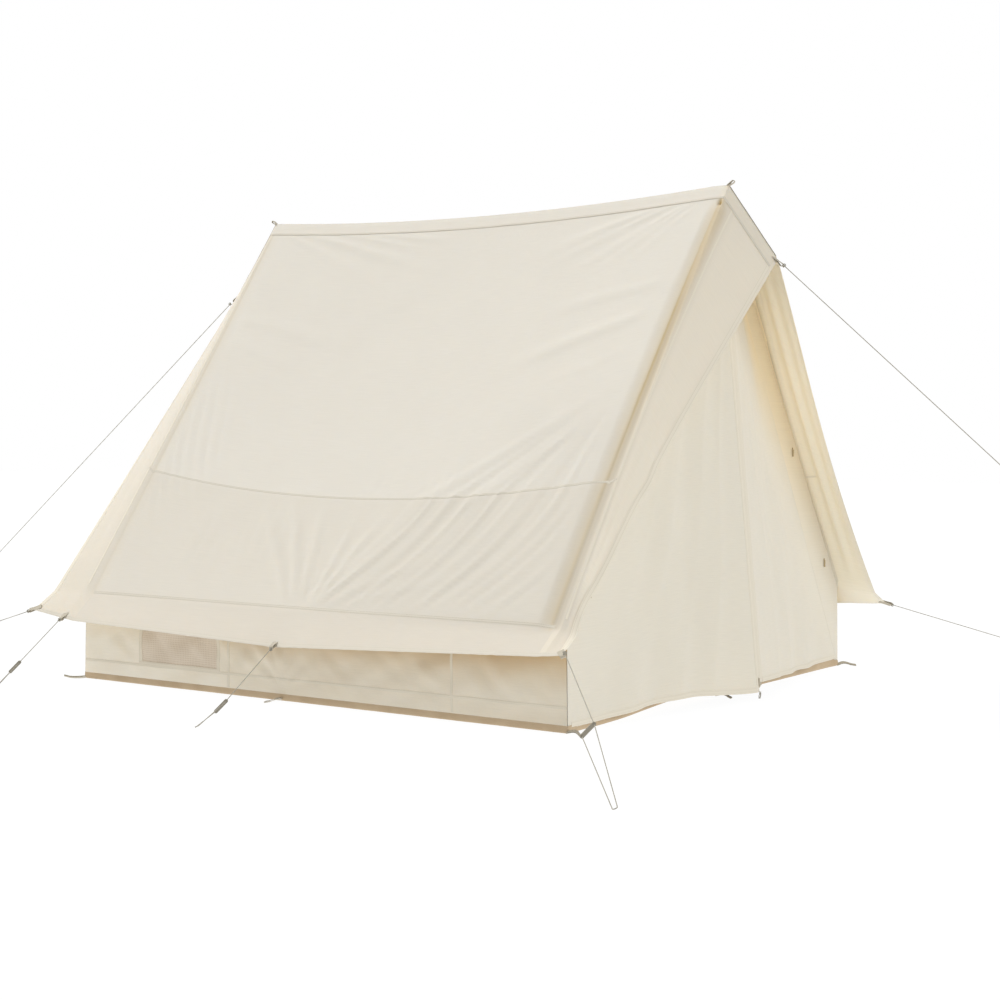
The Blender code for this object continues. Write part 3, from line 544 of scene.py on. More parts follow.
def sewn_share(down, end, full):
    """The fold over a pole dies out at the ridge and at the wall. The rear fold is slack."""
    return ease(down, 0.012, full) * (1 - ease(down, 0.985, 1.02)) * (1.0 if end < 0 else 0.25)


def arch_fold(past, down, end):
    """The cloth is drawn over the pole, and turns down into a fold and a sewn groove beyond it."""
    sewn = sewn_share(down, end, 0.12)
    crown = mix(0.0075, 0.0125, down) * sewn
    fold = mix(0.0062, 0.0110, down) * sewn
    groove = 0.0012 * hump(past, 0.004, 0.008) * sewn
    if past <= 0:
        bend = mix(0.042, 0.058, ease(down, 0.05, 0.35))
        return crown * ease(past, -1.08, 0.012 - bend) - fold * ease(past, -bend, 0.0) - groove
    return (crown - fold) * (1 - ease(past, 0.0, 0.12)) - groove


def fly_point(side, down, along):
    """The outer face. down: 0 ridge, 1 wall top. along: -2 front hem, -1 and 1 arches, 2 rear hem."""
    end = -1 if along < 0 else 1
    base = slope_base(side, down, end * min(abs(along), 1.0) * ARCH_Y)
    out_face = Vector((side * OUT_X, 0, OUT_Z))
    share = abs(base.x) / EAVE_X
    beyond = beyond_arch(side, along, share)
    lift = arch_fold(beyond - valley(end, down), down, end)
    if beyond <= 0:
        return base + out_face * (lift + slope_creases(side, down, along) * ease(-beyond, 0.02, 0.09))
    out = abs(along) - 1
    top = Vector((0, end * ARCH_Y, RIDGE_Z))
    ridge_end = top + Vector((0, end * RIDGE_END[end], 0))
    tip = Vector((0, end * BEAK_Y[end], BEAK_Z[end]))
    if out < HOOD_FLAT:
        lead = (ridge_end - top) * (out / HOOD_FLAT)
    else:
        lead = ridge_end.lerp(tip, (out - HOOD_FLAT) / (1 - HOOD_FLAT)) - top
    pulled = side < 0 and end < 0
    corner_y, corner_z = PULLED_CORNER if pulled else HOOD_CORNER
    corner = Vector((side * EAVE_X, end * corner_y, corner_z))
    foot = slope_base(side, 1 + FLAP, end * ARCH_Y)
    hem = HOOD_HEM_DIP[side, end] * math.sin(math.pi * share ** 1.3)
    if pulled:
        hem += 0.022 * hump(share, 0.86, 0.07) - 0.009 * hump(share, 0.57, 0.030)
    # A short deep pucker where the fold meets the ridge band
    if end < 0:
        lift -= 0.012 * hump(down, 0.044, 0.0065) * hump(out, 0.20, 0.035)
    narrow = narrowing(side, end, share)
    lift += 0.0030 * narrow * hump(out, 0.45, 0.06) * math.sin(math.pi * min(down, 1.0))
    run = down * SLOPE_RUN
    held = math.sin(math.pi * out)
    lift += 0.0030 * wobble(out * 3.0, run * 1.1, 21.0 + side + 3 * end) * held
    # The far front hood, seen from inside, falls in deep folds
    deep = 0.0095 if side > 0 and end < 0 else 0.0018 * narrow * narrow
    wave = math.sin(2 * math.pi * (out * 3.1 + 0.15 * math.sin(run * 2.4)))
    lift += deep * wave * held * ease(run, 0.0, 0.5) * (1 - ease(down, 0.80, 1.0))
    drawn_back = Vector((0, -end * hem * out * out, 0))
    return base + lead.lerp((corner - foot) * out, share) + drawn_back + out_face * lift


def steps(*marks):
    """Values from mark to mark: (value, number of steps to the next)."""
    values = []
    for (low, count), (high, _) in zip(marks, marks[1:]):
        values += [mix(low, high, k / count) for k in range(count)]
    return values + [marks[-1][0]]


ALONG = steps((-2.0, 16), (-1.25, 8), (-1.15, 14), (-1.0, 12), (-0.94, 6), (-0.88, 92), (0.0, 52), (0.88, 6),
              (0.95, 8), (1.0, 6), (1.1, 4), (1.25, 8), (2.0, 0))
LEFT_DOWN = steps((0.0, 4), (0.02, 24), (0.08, 100), (1.0, 9), (1 + FLAP, 0))
RIGHT_DOWN = steps((0.0, 3), (0.02, 36), (1.0, 4), (1 + FLAP, 0))
DOWN = [(-1, value) for value in reversed(LEFT_DOWN)] + [(1, value) for value in RIGHT_DOWN[1:]]


def warp_down(down, along):
    """Lets one row of threads lie along the level seam."""
    middle = 0.7424
    target = seam_down(along)
    if down >= 1:
        return down
    if down <= middle:
        return down * target / middle
    return mix(target, 1.0, (down - middle) / (1 - middle))


def lay_cloth(name, columns, rows, place, outward, flat, finishes, shades=None, travel=None):
    """A woven panel: a grid laid out by place(i, j), with UVs in metres of cloth.

    shades: painted shade, as how much of its second, shaded colour the cloth shows, and painted light, as how
    much lighter it looks.
    travel: how far along the cloth each column is, where the columns aren't evenly spaced.
    """
    bpy.ops.object.select_all(action="DESELECT")
    bpy.ops.mesh.primitive_grid_add(x_subdivisions=columns, y_subdivisions=rows, size=2)
    panel = bpy.context.object
    panel.name = name
    mesh = panel.data
    lattice = {}
    for vertex in mesh.vertices:
        i = round((vertex.co.x + 1) / 2 * columns)
        j = round((vertex.co.y + 1) / 2 * rows)
        lattice[vertex.index] = (i, j)
        vertex.co = place(i, j)
    uvs = mesh.uv_layers.active
    uvs.name = "weave"
    for loop in mesh.loops:
        i, j = lattice[loop.vertex_index]
        uvs.data[loop.index].uv = (travel[i] if travel else flat[0] * i / columns, flat[1] * j / rows)
    mesh.update()
    facing = sum((face.normal * face.area for face in mesh.polygons), Vector())
    if outward and facing.dot(Vector(outward)) < 0:
        mesh.flip_normals()
    for finish in finishes:
        mesh.materials.append(finish)
    mesh.shade_smooth()
    for key, amount in (shades or {}).items():
        store = mesh.attributes.new(key, "FLOAT", "POINT")
        for index, (i, j) in lattice.items():
            store.data[index].value = amount(i, j)
    return panel


def make_up(panel, body, slot, *replaced, thick=CANVAS_THICK, inwards=-1.0):
    """Gives a panel its gauge. A second finish, where it has one, is that of its inner side."""
    select_only(panel)
    gauge = panel.modifiers.new("gauge", "SOLIDIFY")
    gauge.thickness = thick
    gauge.offset = inwards
    gauge.material_offset = len(panel.data.materials) - 1
    bpy.ops.object.modifier_apply(modifier="gauge")
    bpy.ops.object.shade_smooth_by_angle(angle=math.radians(50))
    settle(panel, body, slot, *replaced)


def canvas_finish(name, bright, shaded):
    """Plain-woven cotton canvas: matt, faintly slubbed, with a soft nap."""
    # Light soaks through the cloth, and comes out warm
    finish, tree, shader = new_finish(name, bright, CANVAS_ROUGHNESS, {
        "Sheen Weight": CANVAS_SHEEN, "Sheen Roughness": 0.6, "Specular IOR Level": 0.2,
        "Subsurface Weight": 0.25, "Subsurface Radius": (1.0, 0.80, 0.58), "Subsurface Scale": 0.004})
    cloth = add_node(tree, "ShaderNodeUVMap", {"uv_map": "weave"}).outputs["UV"]
    place = add_node(tree, "ShaderNodeTexCoord").outputs["Object"]
    # Painted shade: a stored share mixes the cloth's colour towards its second, shaded colour
    painted_shade = add_node(tree, "ShaderNodeAttribute", {"attribute_name": "painted_shade"})
    base = add_node(tree, "ShaderNodeMix", {"data_type": "RGBA", 6: linear(bright), 7: linear(shaded)},
                    {"Factor": painted_shade.outputs["Fac"]})
    # Slubs are thick places in the yarn, 2 mm high and some 80 mm long. Clouds are uneven dyeing and
    # handling, over a hand's breadth
    slub_place = add_node(tree, "ShaderNodeMapping", {"Scale": (12.0, 420.0, 1.0)}, {"Vector": cloth})
    slubs = add_node(tree, "ShaderNodeTexNoise", {"Scale": 1.0, "Detail": 2.0},
                     {"Vector": slub_place.outputs["Vector"]})
    clouds = add_node(tree, "ShaderNodeTexNoise", {"Scale": 5.0, "Detail": 3.0}, {"Vector": place})
    # Painted light: single cloth, which lets the light behind it through, is painted lighter than cloth with
    # a panel behind it; a share below 0 paints shade
    painted_light_and_shade = add_node(tree, "ShaderNodeAttribute", {"attribute_name": "painted_light_and_shade"})
    through = add_node(tree, "ShaderNodeMath", {"operation": "ADD", 1: 1.0}, {0: painted_light_and_shade.outputs["Fac"]})
    factors = [through.outputs["Value"]]
    for pattern, low, high in ((clouds, 0.992, 1.006), (slubs, 0.975, 1.02)):
        tint = add_node(tree, "ShaderNodeMapRange",
                        {"From Min": 0.3, "From Max": 0.7, "To Min": low, "To Max": high},
                        {"Value": pattern.outputs["Fac"]})
        factors.append(tint.outputs["Result"])
    colour = base.outputs[2]
    for factor in factors:
        colour = add_node(tree, "ShaderNodeVectorMath", {"operation": "SCALE"},
                          {0: colour, "Scale": factor}).outputs["Vector"]
    tree.links.new(colour, shader.inputs["Base Color"])
    # The real threads are 0.4 mm apart; they are drawn 2.5 mm apart, so that they show at all
    bands = ({"bands_direction": way, "Scale": 63.0, "Distortion": 0.6} for way in "XY")
    warp, weft = (add_node(tree, "ShaderNodeTexWave", settings, {"Vector": cloth}).outputs["Fac"]
                  for settings in bands)
    threads = add_node(tree, "ShaderNodeMath", {"operation": "ADD"}, {0: warp, 1: weft})
    crumple = add_node(tree, "ShaderNodeTexNoise", {"Scale": 26.0, "Detail": 4.0, "Roughness": 0.55},
                       {"Vector": place})
    stand_out(tree, shader, threads.outputs["Value"], 0.10, 0.0004)
    stand_out(tree, shader, crumple.outputs["Fac"], 0.22, 0.004)
    return finish


canvas = canvas_finish("cotton_canvas", "#E2DBCE", "#C8AE78")
# Painted light: the inner face is painted lighter and warmer than the outer, for the light shining through
# the cloth
canvas_inner_painted_light = canvas_finish("cotton_canvas_inner_face", "#F4ECDA", "#D8CAA8")


def fly_place(i, j):
    side, down = DOWN[j]
    return fly_point(side, warp_down(down, ALONG[i]), ALONG[i])


def fly_painted_shade(i, j):
    """Painted shade: how far the cloth is painted towards its warm shaded colour: most in the fold at an
    arch, a little on the hoods and below the seam.
    """
    side, down = DOWN[j]
    along = ALONG[i]
    end = -1 if along < 0 else 1
    beyond = beyond_arch(side, along, min(down, 1))
    past = beyond - valley(end, down)
    shade = mix(0.10, 0.28, ease(down, 0.1, 0.4)) * hump(past, 0.002, 0.010)
    if past <= 0:
        shade += 0.22 * ease(past, mix(-0.044, -0.058, ease(down, 0.05, 0.35)), -0.012)
    else:
        shade += 0.40 * (1 - ease(past, 0.020, 0.052)) * (1 - 0.75 * ease(down, 0.4, 0.9))
    plain = (0.12 if end < 0 else 0.09) * ease(past, -0.010, 0.010)
    if beyond <= 0 and down > LOWER_STRIP:
        plain = 0.05
    if end < 0:
        # Painted shade in the short deep pucker where the fold meets the ridge band
        plain += 0.6 * hump(down, 0.044, 0.008) * hump(abs(along), 1.20, 0.04)
        #         Painted shade: the far hood's inner side is painted warmest where it leaves the gable, in
        #             the corner's shade
        plain += 0.6 * hump(beyond, 0, 0.03) if side > 0 else 0.0
    return plain + sewn_share(down, end, 0.08) * shade


def fly_painted_light_and_shade(i, j):
    """Painted light and shade: how much lighter than the slope's cloth, which has the inner side behind it, a
    place is painted; below 0 it is painted darker, as in the fold at the front arch, on the eave flap and on
    the lower strip.
    """
    side, down = DOWN[j]
    along = ALONG[i]
    past = beyond_arch(side, min(along, 0.0), min(down, 1)) - valley(-1, down)
    deep = mix(-0.05, -0.17, ease(down, 0.1, 0.45)) * sewn_share(down, -1, 0.08)
    deep *= ease(past, -0.004, 0.006) * (1 - ease(past, 0.022, 0.050))
    if along < -1:
        bright = 0.16 * (1 - ease(down, 0.4, 0.95))
        if side < 0:
            bright = mix(0.11, 0.20, down) * (1 - 1.2 * ease(down, 0.90, 1.0))
        return bright * ease(past, 0.030, 0.070) + deep
    if along > 1:
        return -0.02
    if down > 1:
        return -0.08
    front = -along * ARCH_Y
    run = down * SLOPE_RUN
    if down < LOWER_STRIP:
        return -0.045 * ease(run, 0.8, 1.25) * ease(front, 0.3, 0.9) + deep
    #     Painted shade: right of a line from the eave's middle tab the lower strip is painted a little darker
    darker = -0.025 - 0.035 * ease(front - 0.05 - 0.65 * (1.88 - run), -0.03, 0.03)
    return darker + deep if down < 1 else darker


fly = lay_cloth("fly", len(ALONG) - 1, len(DOWN) - 1, fly_place, (0, 0, 1), (2.72, 4.20),
                (canvas, canvas_inner_painted_light), {"painted_shade": fly_painted_shade, "painted_light_and_shade": fly_painted_light_and_shade})
make_up(fly, "tent", "canvas", "left_roof", "right_roof", "front_left_hood", "front_right_hood",
        "rear_left_hood", "rear_right_hood")


# Seams and hems of the fly
# Felled seams 12 mm wide, and 22 mm hems turned in along the hoods and the eaves, each with two
# rows of lock stitch in a slightly darker cotton thread.
SEAM_WIDTH = 0.012
EAVE_HEM_WIDTH = 0.018
HOOD_HEM_WIDTH = 0.020
HOOD_SEAM_WIDTH = 0.007
LEVEL_SEAM_WIDTH = 0.009
TAPE_THICK = 0.0009
TAPE_LIFT = 0.0006
TAPE_CROWN = 0.0004
HOOD_SEAM_PAST = 0.050


def stitched_finish(name, cloth, thread):
    """Doubled cloth with two rows of lock stitch, each 22% in from an edge, at a pitch of 6 mm."""
    finish, tree, shader = new_finish(name, cloth, CANVAS_ROUGHNESS, {"Sheen Weight": CANVAS_SHEEN})
    place = add_node(tree, "ShaderNodeSeparateXYZ", {},
                     {"Vector": add_node(tree, "ShaderNodeUVMap", {"uv_map": "weave"}).outputs["UV"]})
    in_row = (("PINGPONG", 0.5), ("SUBTRACT", 0.22), ("ABSOLUTE", 0.0), ("LESS_THAN", 0.055))
    in_stitch = (("PINGPONG", 0.003), ("GREATER_THAN", 0.0009))
    both = {}
    for socket, (axis, sums) in enumerate((("Y", in_row), ("X", in_stitch))):
        value = place.outputs[axis]
        for operation, number in sums:
            made = add_node(tree, "ShaderNodeMath", {"operation": operation, 1: number}, {0: value})
            value = made.outputs["Value"]
        both[socket] = value
    stitch = add_node(tree, "ShaderNodeMath", {"operation": "MULTIPLY"}, both)
    stand_out(tree, shader, stitch.outputs["Value"], 0.2, 0.0004, (cloth, thread))
    return finish


fly_seam = stitched_finish("fly_seam", "#D8D1C2", "#B9AE9A")
fly_hem = stitched_finish("fly_hem", "#D9D2C3", "#CFC7B6")
# Painted light: the hoods' hems and seams are painted lighter than the eave hem, to match the painted light
# on the hoods
hood_hem = stitched_finish("hood_hem", "#EBE3D1", "#DFD5C1")


def surface_frame(surface, a, b, outward):
    """Point and outward normal of a panel at a place given by its two shares."""
    step = 0.0015
    point = surface(a, b)
    normal = (surface(a + step, b) - surface(a - step, b)).cross(surface(a, b + step) - surface(a, b - step))
    normal.normalize()
    if normal.dot(Vector(outward)) < 0:
        normal.negate()
    return point, normal


def seam_tape(name, surface, path, outward, width=SEAM_WIDTH, lift=TAPE_LIFT, thick=TAPE_THICK,
              finish=fly_seam, body="tent"):
    """A strip of doubled cloth that follows a panel along path, a list of places on it."""
    spots = [surface_frame(surface, a, b, outward) for a, b in path]
    rows = 4
    places = []
    travel = [0.0]
    for index, (point, normal) in enumerate(spots):
        before = spots[max(index - 1, 0)][0]
        after = spots[min(index + 1, len(spots) - 1)][0]
        across = normal.cross((after - before).normalized()).normalized()
        if index:
            travel.append(travel[-1] + (point - before).length)
        shares = [j / rows for j in range(rows + 1)]
        places.append([point + across * (share - 0.5) * width
                       + normal * (lift + TAPE_CROWN * math.sin(math.pi * share)) for share in shares])
    strip = lay_cloth(name, len(path) - 1, rows, lambda i, j: places[i][j], outward, (0, 1), (finish,),
                      travel=travel)
    make_up(strip, body, "canvas", thick=thick)
    return strip


def along_line(low, high, count):
    return [mix(low, high, k / count) for k in range(count + 1)]


def level_seam(along):
    """The seam dips a little over the fold at an arch, and ends higher on the hood."""
    past = abs(along)
    return seam_down(along) + 0.0035 * hump(past, 1.05, 0.04) - 0.005 * ease(past, 1.10, 1.26)


def hood_seam(side, end, down):
    """How far along the seam lies that runs down a hood, at an even distance from the fold."""
    past = valley(end, down) + HOOD_SEAM_PAST
    return end * (1 + past / (HOOD_REACH * narrowing(side, end, down)))


for side, word in SIDES:
    face = (side * 0.8, 0, 0.6)

    def surface(down, along):
        return fly_point(side, down, along)
    path = [(level_seam(along), along) for along in ALONG if abs(along) <= 1.27]
    seam_tape(word + "_slope_seam", surface, path, face, LEVEL_SEAM_WIDTH)
    path = [(0.997, along) for along in ALONG if abs(along) <= 1]
    seam_tape(word + "_eave_seam", surface, path, face)
    path = [(0.995 + FLAP, along) for along in ALONG]
    seam_tape(word + "_eave_hem", surface, path, face, EAVE_HEM_WIDTH, finish=fly_hem)
    for end, end_word in ENDS:
        face = (side * 0.8, end * 0.5, 0.5)
        path = [(down, hood_seam(side, end, down)) for down in along_line(0.03, 0.98, 90)]
        seam_tape("%s_%s_hood_seam" % (end_word, word), surface, path, face, HOOD_SEAM_WIDTH,
                               finish=hood_hem)
        path = [(down, end * 1.955) for down in along_line(0.012, 0.997 + FLAP, 90)]
        seam_tape("%s_%s_hood_hem" % (end_word, word), surface, path, face, HOOD_HEM_WIDTH,
                               finish=hood_hem)
# The level seam's inner side shows on the far hood
path = [(seam_down(1.0) + 0.014 - 0.021 * k / 30, -mix(1.03, 1.42, k / 30)) for k in range(31)]
seam_tape("right_hood_inner_seam", lambda down, along: fly_point(1, down, along), path,
                       (-0.8, 0, -0.6), LEVEL_SEAM_WIDTH, CANVAS_THICK + TAPE_LIFT, finish=hood_hem)


# Ridge band
# A doubled strip of canvas, 66 mm down each slope, sewn over the ridge seam from beak to beak. A grey
# piping runs along the hoods' part of it.
BAND_DOWN = 0.0345
BAND_LIFT = 0.0022
BAND_CROWN = 0.0045
BAND_THICK = 0.0015
PIPING_THICK = 0.0024


def band_point(across, y):
    """across runs -1 to 1 from the left edge over the ridge to the right edge."""
    side = -1 if across < 0 else 1
    far = abs(across)
    end = -1 if y < 0 else 1
    past = abs(y) - ARCH_Y
    if past <= 0:
        along = y / ARCH_Y
    elif past <= RIDGE_END[end]:
        along = end * (1 + HOOD_FLAT * past / RIDGE_END[end])
    else:
        share = (past - RIDGE_END[end]) / (BEAK_Y[end] - ARCH_Y - RIDGE_END[end])
        along = end * mix(1 + HOOD_FLAT, 2.0, share)
    ripple = 0.0010 * wobble(y * 9.0, across * 2.0, 5.0) * far
    up = BAND_LIFT + BAND_CROWN * hump(far, 0, 0.3) + ripple
    return fly_point(side, BAND_DOWN * far, along) + Vector((side * 0.0012 * min(far * 8, 1), 0, up))


BAND_Y = steps((-1.334, 24), (-1.165, 12), (-1.12, 140), (1.08, 10), (1.12, 22), (1.318, 0))
# Painted shade and light: the band's front hood part is painted warmer and lighter, like the hoods
band = lay_cloth("ridge_strip", len(BAND_Y) - 1, 12, lambda i, j: band_point(j / 6 - 1, BAND_Y[i]), (0, 0, 1),
                 (2.92, 0.13), (canvas, canvas_inner_painted_light),
                 {"painted_shade": lambda i, j: 0.16 * ease(-BAND_Y[i], ARCH_Y + 0.02, ARCH_Y + 0.06),
                  "painted_light_and_shade": lambda i, j: 0.09 * ease(-BAND_Y[i], ARCH_Y + 0.02, ARCH_Y + 0.06)})
make_up(band, "tent", "canvas", "ridge_band", thick=BAND_THICK)
band_trims = [seam_tape(word + "_band_seam", band_point, [(side * 0.93, y) for y in BAND_Y],
                        (side * 0.8, 0, 0.6), 0.008, 0.0004, 0.0006, fly_hem) for side, word in SIDES]
piping = stitched_finish("grey_piping", "#989180", "#857F70")
for end, end_word in ENDS:
    path = [(0.02, end * y) for y in along_line(ARCH_Y + RIDGE_END[end] + 0.004, BEAK_Y[end] - 0.008, 40)]
    band_trims.append(seam_tape(end_word + "_beak_piping", band_point, path, (0.3, 0, 1), 0.007, 0.0010,
                                PIPING_THICK, piping))


# Webbing tabs
# Loops of 25 mm cotton webbing sewn under the hems wherever a guyline pulls: at each beak, at each
# hood corner, and at the ends and the middle of each eave. The ridge band ends in two more loops.
TAB_INNER = 0.018
TAB_OUTER = 0.036
TAB_WIDTH = 0.025
TAB_EYE = 0.0045
WEBBING_THICK = 0.0012
TAB_DOWN = 1.0785
RIDGE_LOOP_Y = {-1: -1.135, 1: 1.097}

webbing_finish = patterned_finish("cotton_webbing", "#B9B09D", 0.9, "ShaderNodeTexWave",
                                  {"bands_direction": "DIAGONAL", "Scale": 150.0, "Distortion": 0.4},
                                  (0.5, 0.0006), ("#B4AB97", "#CBC3B1"), {"Sheen Weight": 0.15}, woven=True)


def webbing_loop(name, root, direction, normal, inner=TAB_INNER, outer=TAB_OUTER, width=TAB_WIDTH, pinch=0.6,
                 eye=TAB_EYE, curl=0.0):
    """A strip folded back on itself: out along the top, round an open tip, and back underneath."""
    along = Vector(direction).normalized()
    across = along.cross(Vector(normal)).normalized()
    up = across.cross(along)
    tip = outer - eye
    profile = [(s, mix(min(0.0013, eye), eye, ease(s, 0.0, tip))) for s in along_line(-inner, tip, 8)]
    bend = [(tip + eye * math.sin(math.pi * k / 8), eye * math.cos(math.pi * k / 8)) for k in range(1, 8)]
    profile += bend + [(s, -h) for s, h in reversed(profile)]

    def place(i, j):
        s, h = profile[i]
        reach = mix(width, width * pinch, ease(s, -inner, outer))
        bent = curl * math.sin(4.2 * max(s, 0) / outer)
        return Vector(root) + along * s + up * (h + 0.3 * abs(bent)) + across * ((j / 4 - 0.5) * reach + bent)
    loop = lay_cloth(name, len(profile) - 1, 4, place, None, (2 * (inner + outer), width), (webbing_finish,))
    make_up(loop, "tent", "canvas", thick=WEBBING_THICK)
    return loop


for end, end_word in ENDS:
    aim = Vector((0, -2.250, 0.824) if end < 0 else (0, 3.110, 0.264))
    webbing_loop(end_word + "_beak_tab", fly_point(-1, 0.003, end * 1.985),
                 aim - Vector((0, end * BEAK_Y[end], BEAK_Z[end])), (0, end, 0.8))
    root = band_point(0, RIDGE_LOOP_Y[end]) - Vector((0, 0, 0.003))
    webbing_loop(end_word + "_ridge_loop", root, (0, end * 1.6, 1), (0, -end, 1.6), 0.0005, 0.030, 0.020, 0.5)
    for side, word in SIDES:
        spots = {"corner": (end * 1.97, (side * 1.540, end * 1.744, 0.113))}
        if side < 0:
            spots["corner"] = (end * 1.97, (-1.613, -1.537, 0.140) if end < 0 else (-1.305, 1.497, 0.200))
        if end > 0:
            spots["eave"] = (end * 1.25, (side * 1.470, end * 1.085, 0.105))
        for part, (along, aim) in spots.items():
            root = fly_point(side, TAB_DOWN, along)
            webbing_loop("%s_%s_%s_tab" % (end_word, word, part), root, Vector(aim) - root, (side, 0, 1.2))
for side, word in SIDES:
    root = fly_point(side, TAB_DOWN, EAVE_TAB_Y / ARCH_Y)
    webbing_loop(word + "_middle_tab", root, Vector((side * 1.553, -0.051, 0.068)) - root, (side, 0, 1.2))


# Side walls
# Low canvas walls sewn under the eaves. They hang a little slack, with a seam above the floor tray,
# two upright seams, and a mesh window near the rear in a bound opening.
TRAY_Z = 0.027
WALL_TOP = 0.3395
WALL_OUT = 1.100
WALL_BULGE = 0.0035
END_LEAN = 0.018
WINDOW_NEAR = 0.418
WINDOW_FAR = 0.815
WINDOW_SILL = 0.094
WINDOW_HEAD = 0.290
WALL_SEAM_WIDTH = 0.010
BINDING_WIDTH = 0.016
BINDING_OFF = 0.008
NET_THICK = 0.0006
NET_LAP = 0.004

# Painted light and shade: the walls' canvas is painted lighter than the fly's, and its tan second colour is
# painted shade under the eave
wall_canvas = canvas_finish("cotton_canvas_wall", "#EAE1CF", "#B8965F")
wall_seam = stitched_finish("wall_seam", "#E2D9C6", "#D6CCB7")
net_finish, net_tree, net_shader = new_finish("insect_net", "#D2C1AB", 0.8)
net_place = add_node(net_tree, "ShaderNodeUVMap", {"uv_map": "weave"}).outputs["UV"]
# The net's real holes are 1.2 mm; they are drawn 4 mm apart
net_rows, net_cross = (add_node(net_tree, "ShaderNodeTexWave", {"bands_direction": way, "Scale": 39.0},
                                {"Vector": net_place}) for way in "XY")
net_both = add_node(net_tree, "ShaderNodeMath", {"operation": "MAXIMUM"},
                    {0: net_rows.outputs["Fac"], 1: net_cross.outputs["Fac"]})
stand_out(net_tree, net_shader, net_both.outputs["Value"], 0.5, 0.001, ("#CDBCA5", "#E0D3C0"))


def wall_point(side, z, y):
    """Outer face of a side wall: slack folds hang from the eave and stand on the tray."""
    high = (z - TRAY_Z) / (WALL_Z - TRAY_Z)
    room = math.sin(math.pi * min(max(high, 0.0), 1.0))
    seed = 40.0 + side
    slack = WALL_BULGE
    slack += 0.0090 * wobble(y * 3.1 + 1.2 * high, z * 3.5, seed)
    slack += 0.0130 * wobble(y * 8.0 + 2.2 * high, z * 7.0, seed + 3.0)
    slack += 0.0080 * wobble(y * 15.0 - 3.0 * high, z * 12.0, seed + 6.0)
    for corner_y in (-HALF_LENGTH, HALF_LENGTH, 0.10):
        far = abs(y - corner_y)
        slack += 0.0032 * math.sin(math.atan2(high * 0.3, far + 0.03) * 16.0) * hump(far, 0, 0.28)
    end = 1 if y > 0 else -1
    spread = abs(y) / HALF_LENGTH * (HALF_LENGTH - END_LEAN * z - 0.0023)
    held = 1 - (abs(y) / HALF_LENGTH) ** 10
    return Vector((side * (WALL_OUT + slack * room * held), end * spread, z))


WALL_Y = steps((-HALF_LENGTH, 108), (WINDOW_NEAR, 26), (WINDOW_FAR, 24), (HALF_LENGTH, 0))
WALL_LEVELS = steps((TRAY_Z, 6), (WINDOW_SILL, 14), (WINDOW_HEAD, 4), (WALL_TOP, 0))


def wall_painted_shade(i, j):
    """Painted shade: the wall is painted darker upwards, in the eave's shade, and most in its front half,
    with soft patches of painted shade for its wrinkles.
    """
    z = WALL_LEVELS[j]
    y = WALL_Y[i]
    shade = mix(0.10, 0.85, ease(z, 0.12, 0.30)) * mix(0.25, 1.0, ease(-y, -0.8, 0.0))
    return shade + 0.08 * wobble(y * 7.0 + z * 9.0, z * 16.0, 44.0) + 0.05


def cut_window(panel):
    work = bmesh.new()
    work.from_mesh(panel.data)
    middles = [(face, face.calc_center_median()) for face in work.faces]
    gone = [face for face, middle in middles
            if WINDOW_NEAR < middle.y < WINDOW_FAR and WINDOW_SILL < middle.z < WINDOW_HEAD]
    bmesh.ops.delete(work, geom=gone, context="FACES")
    work.to_mesh(panel.data)
    work.free()


for side, word in SIDES:
    face = (side, 0, 0)
    # Painted light: the walls are painted lighter towards the rear
    wall = lay_cloth(word + "_wall_cloth", len(WALL_Y) - 1, len(WALL_LEVELS) - 1,
                     lambda i, j: wall_point(side, WALL_LEVELS[j], WALL_Y[i]), face, (2.262, 0.313),
                     (wall_canvas, canvas_inner_painted_light),
                     {"painted_shade": wall_painted_shade, "painted_light_and_shade": lambda i, j: mix(0.06, 0.15, ease(WALL_Y[i], 0.0, 0.8))})
    cut_window(wall)
    make_up(wall, "tent", "canvas", word + "_wall")
    lengths = along_line(WINDOW_NEAR - BINDING_WIDTH, WINDOW_FAR + BINDING_WIDTH, 24)
    levels = along_line(WINDOW_SILL, WINDOW_HEAD, 14)
    paths = {"wall_tray_seam": [(mix(0.082, 0.078, y / HALF_LENGTH), y) for y in WALL_Y],
             "wall_front_upright_seam": [(z, -0.67) for z in along_line(0.03, 0.335, 24)],
             "wall_rear_upright_seam": [(z, 0.36) for z in along_line(0.03, 0.335, 24)],
             "window_sill": [(WINDOW_SILL - BINDING_OFF, y) for y in lengths],
             "window_head": [(WINDOW_HEAD + BINDING_OFF, y) for y in lengths],
             "window_near": [(z, WINDOW_NEAR - BINDING_OFF) for z in levels],
             "window_far": [(z, WINDOW_FAR + BINDING_OFF) for z in levels]}
    trims = [seam_tape("%s_%s" % (word, part), lambda z, y: wall_point(side, z, y), path, face,
                       WALL_SEAM_WIDTH if "seam" in part else BINDING_WIDTH, finish=wall_seam)
             for part, path in paths.items()]

    def net_point(i, j):
        y = mix(WINDOW_NEAR - NET_LAP, WINDOW_FAR + NET_LAP, i / 40)
        z = mix(WINDOW_SILL - NET_LAP, WINDOW_HEAD + NET_LAP, j / 20)
        return wall_point(side, z, y) - Vector((side * 0.0014, 0, 0))
    net = lay_cloth(word + "_window_net", 40, 20, net_point, face, (0.405, 0.204), (net_finish,))
    make_up(net, "tent", "mesh_net", word + "_window_mesh", thick=NET_THICK)


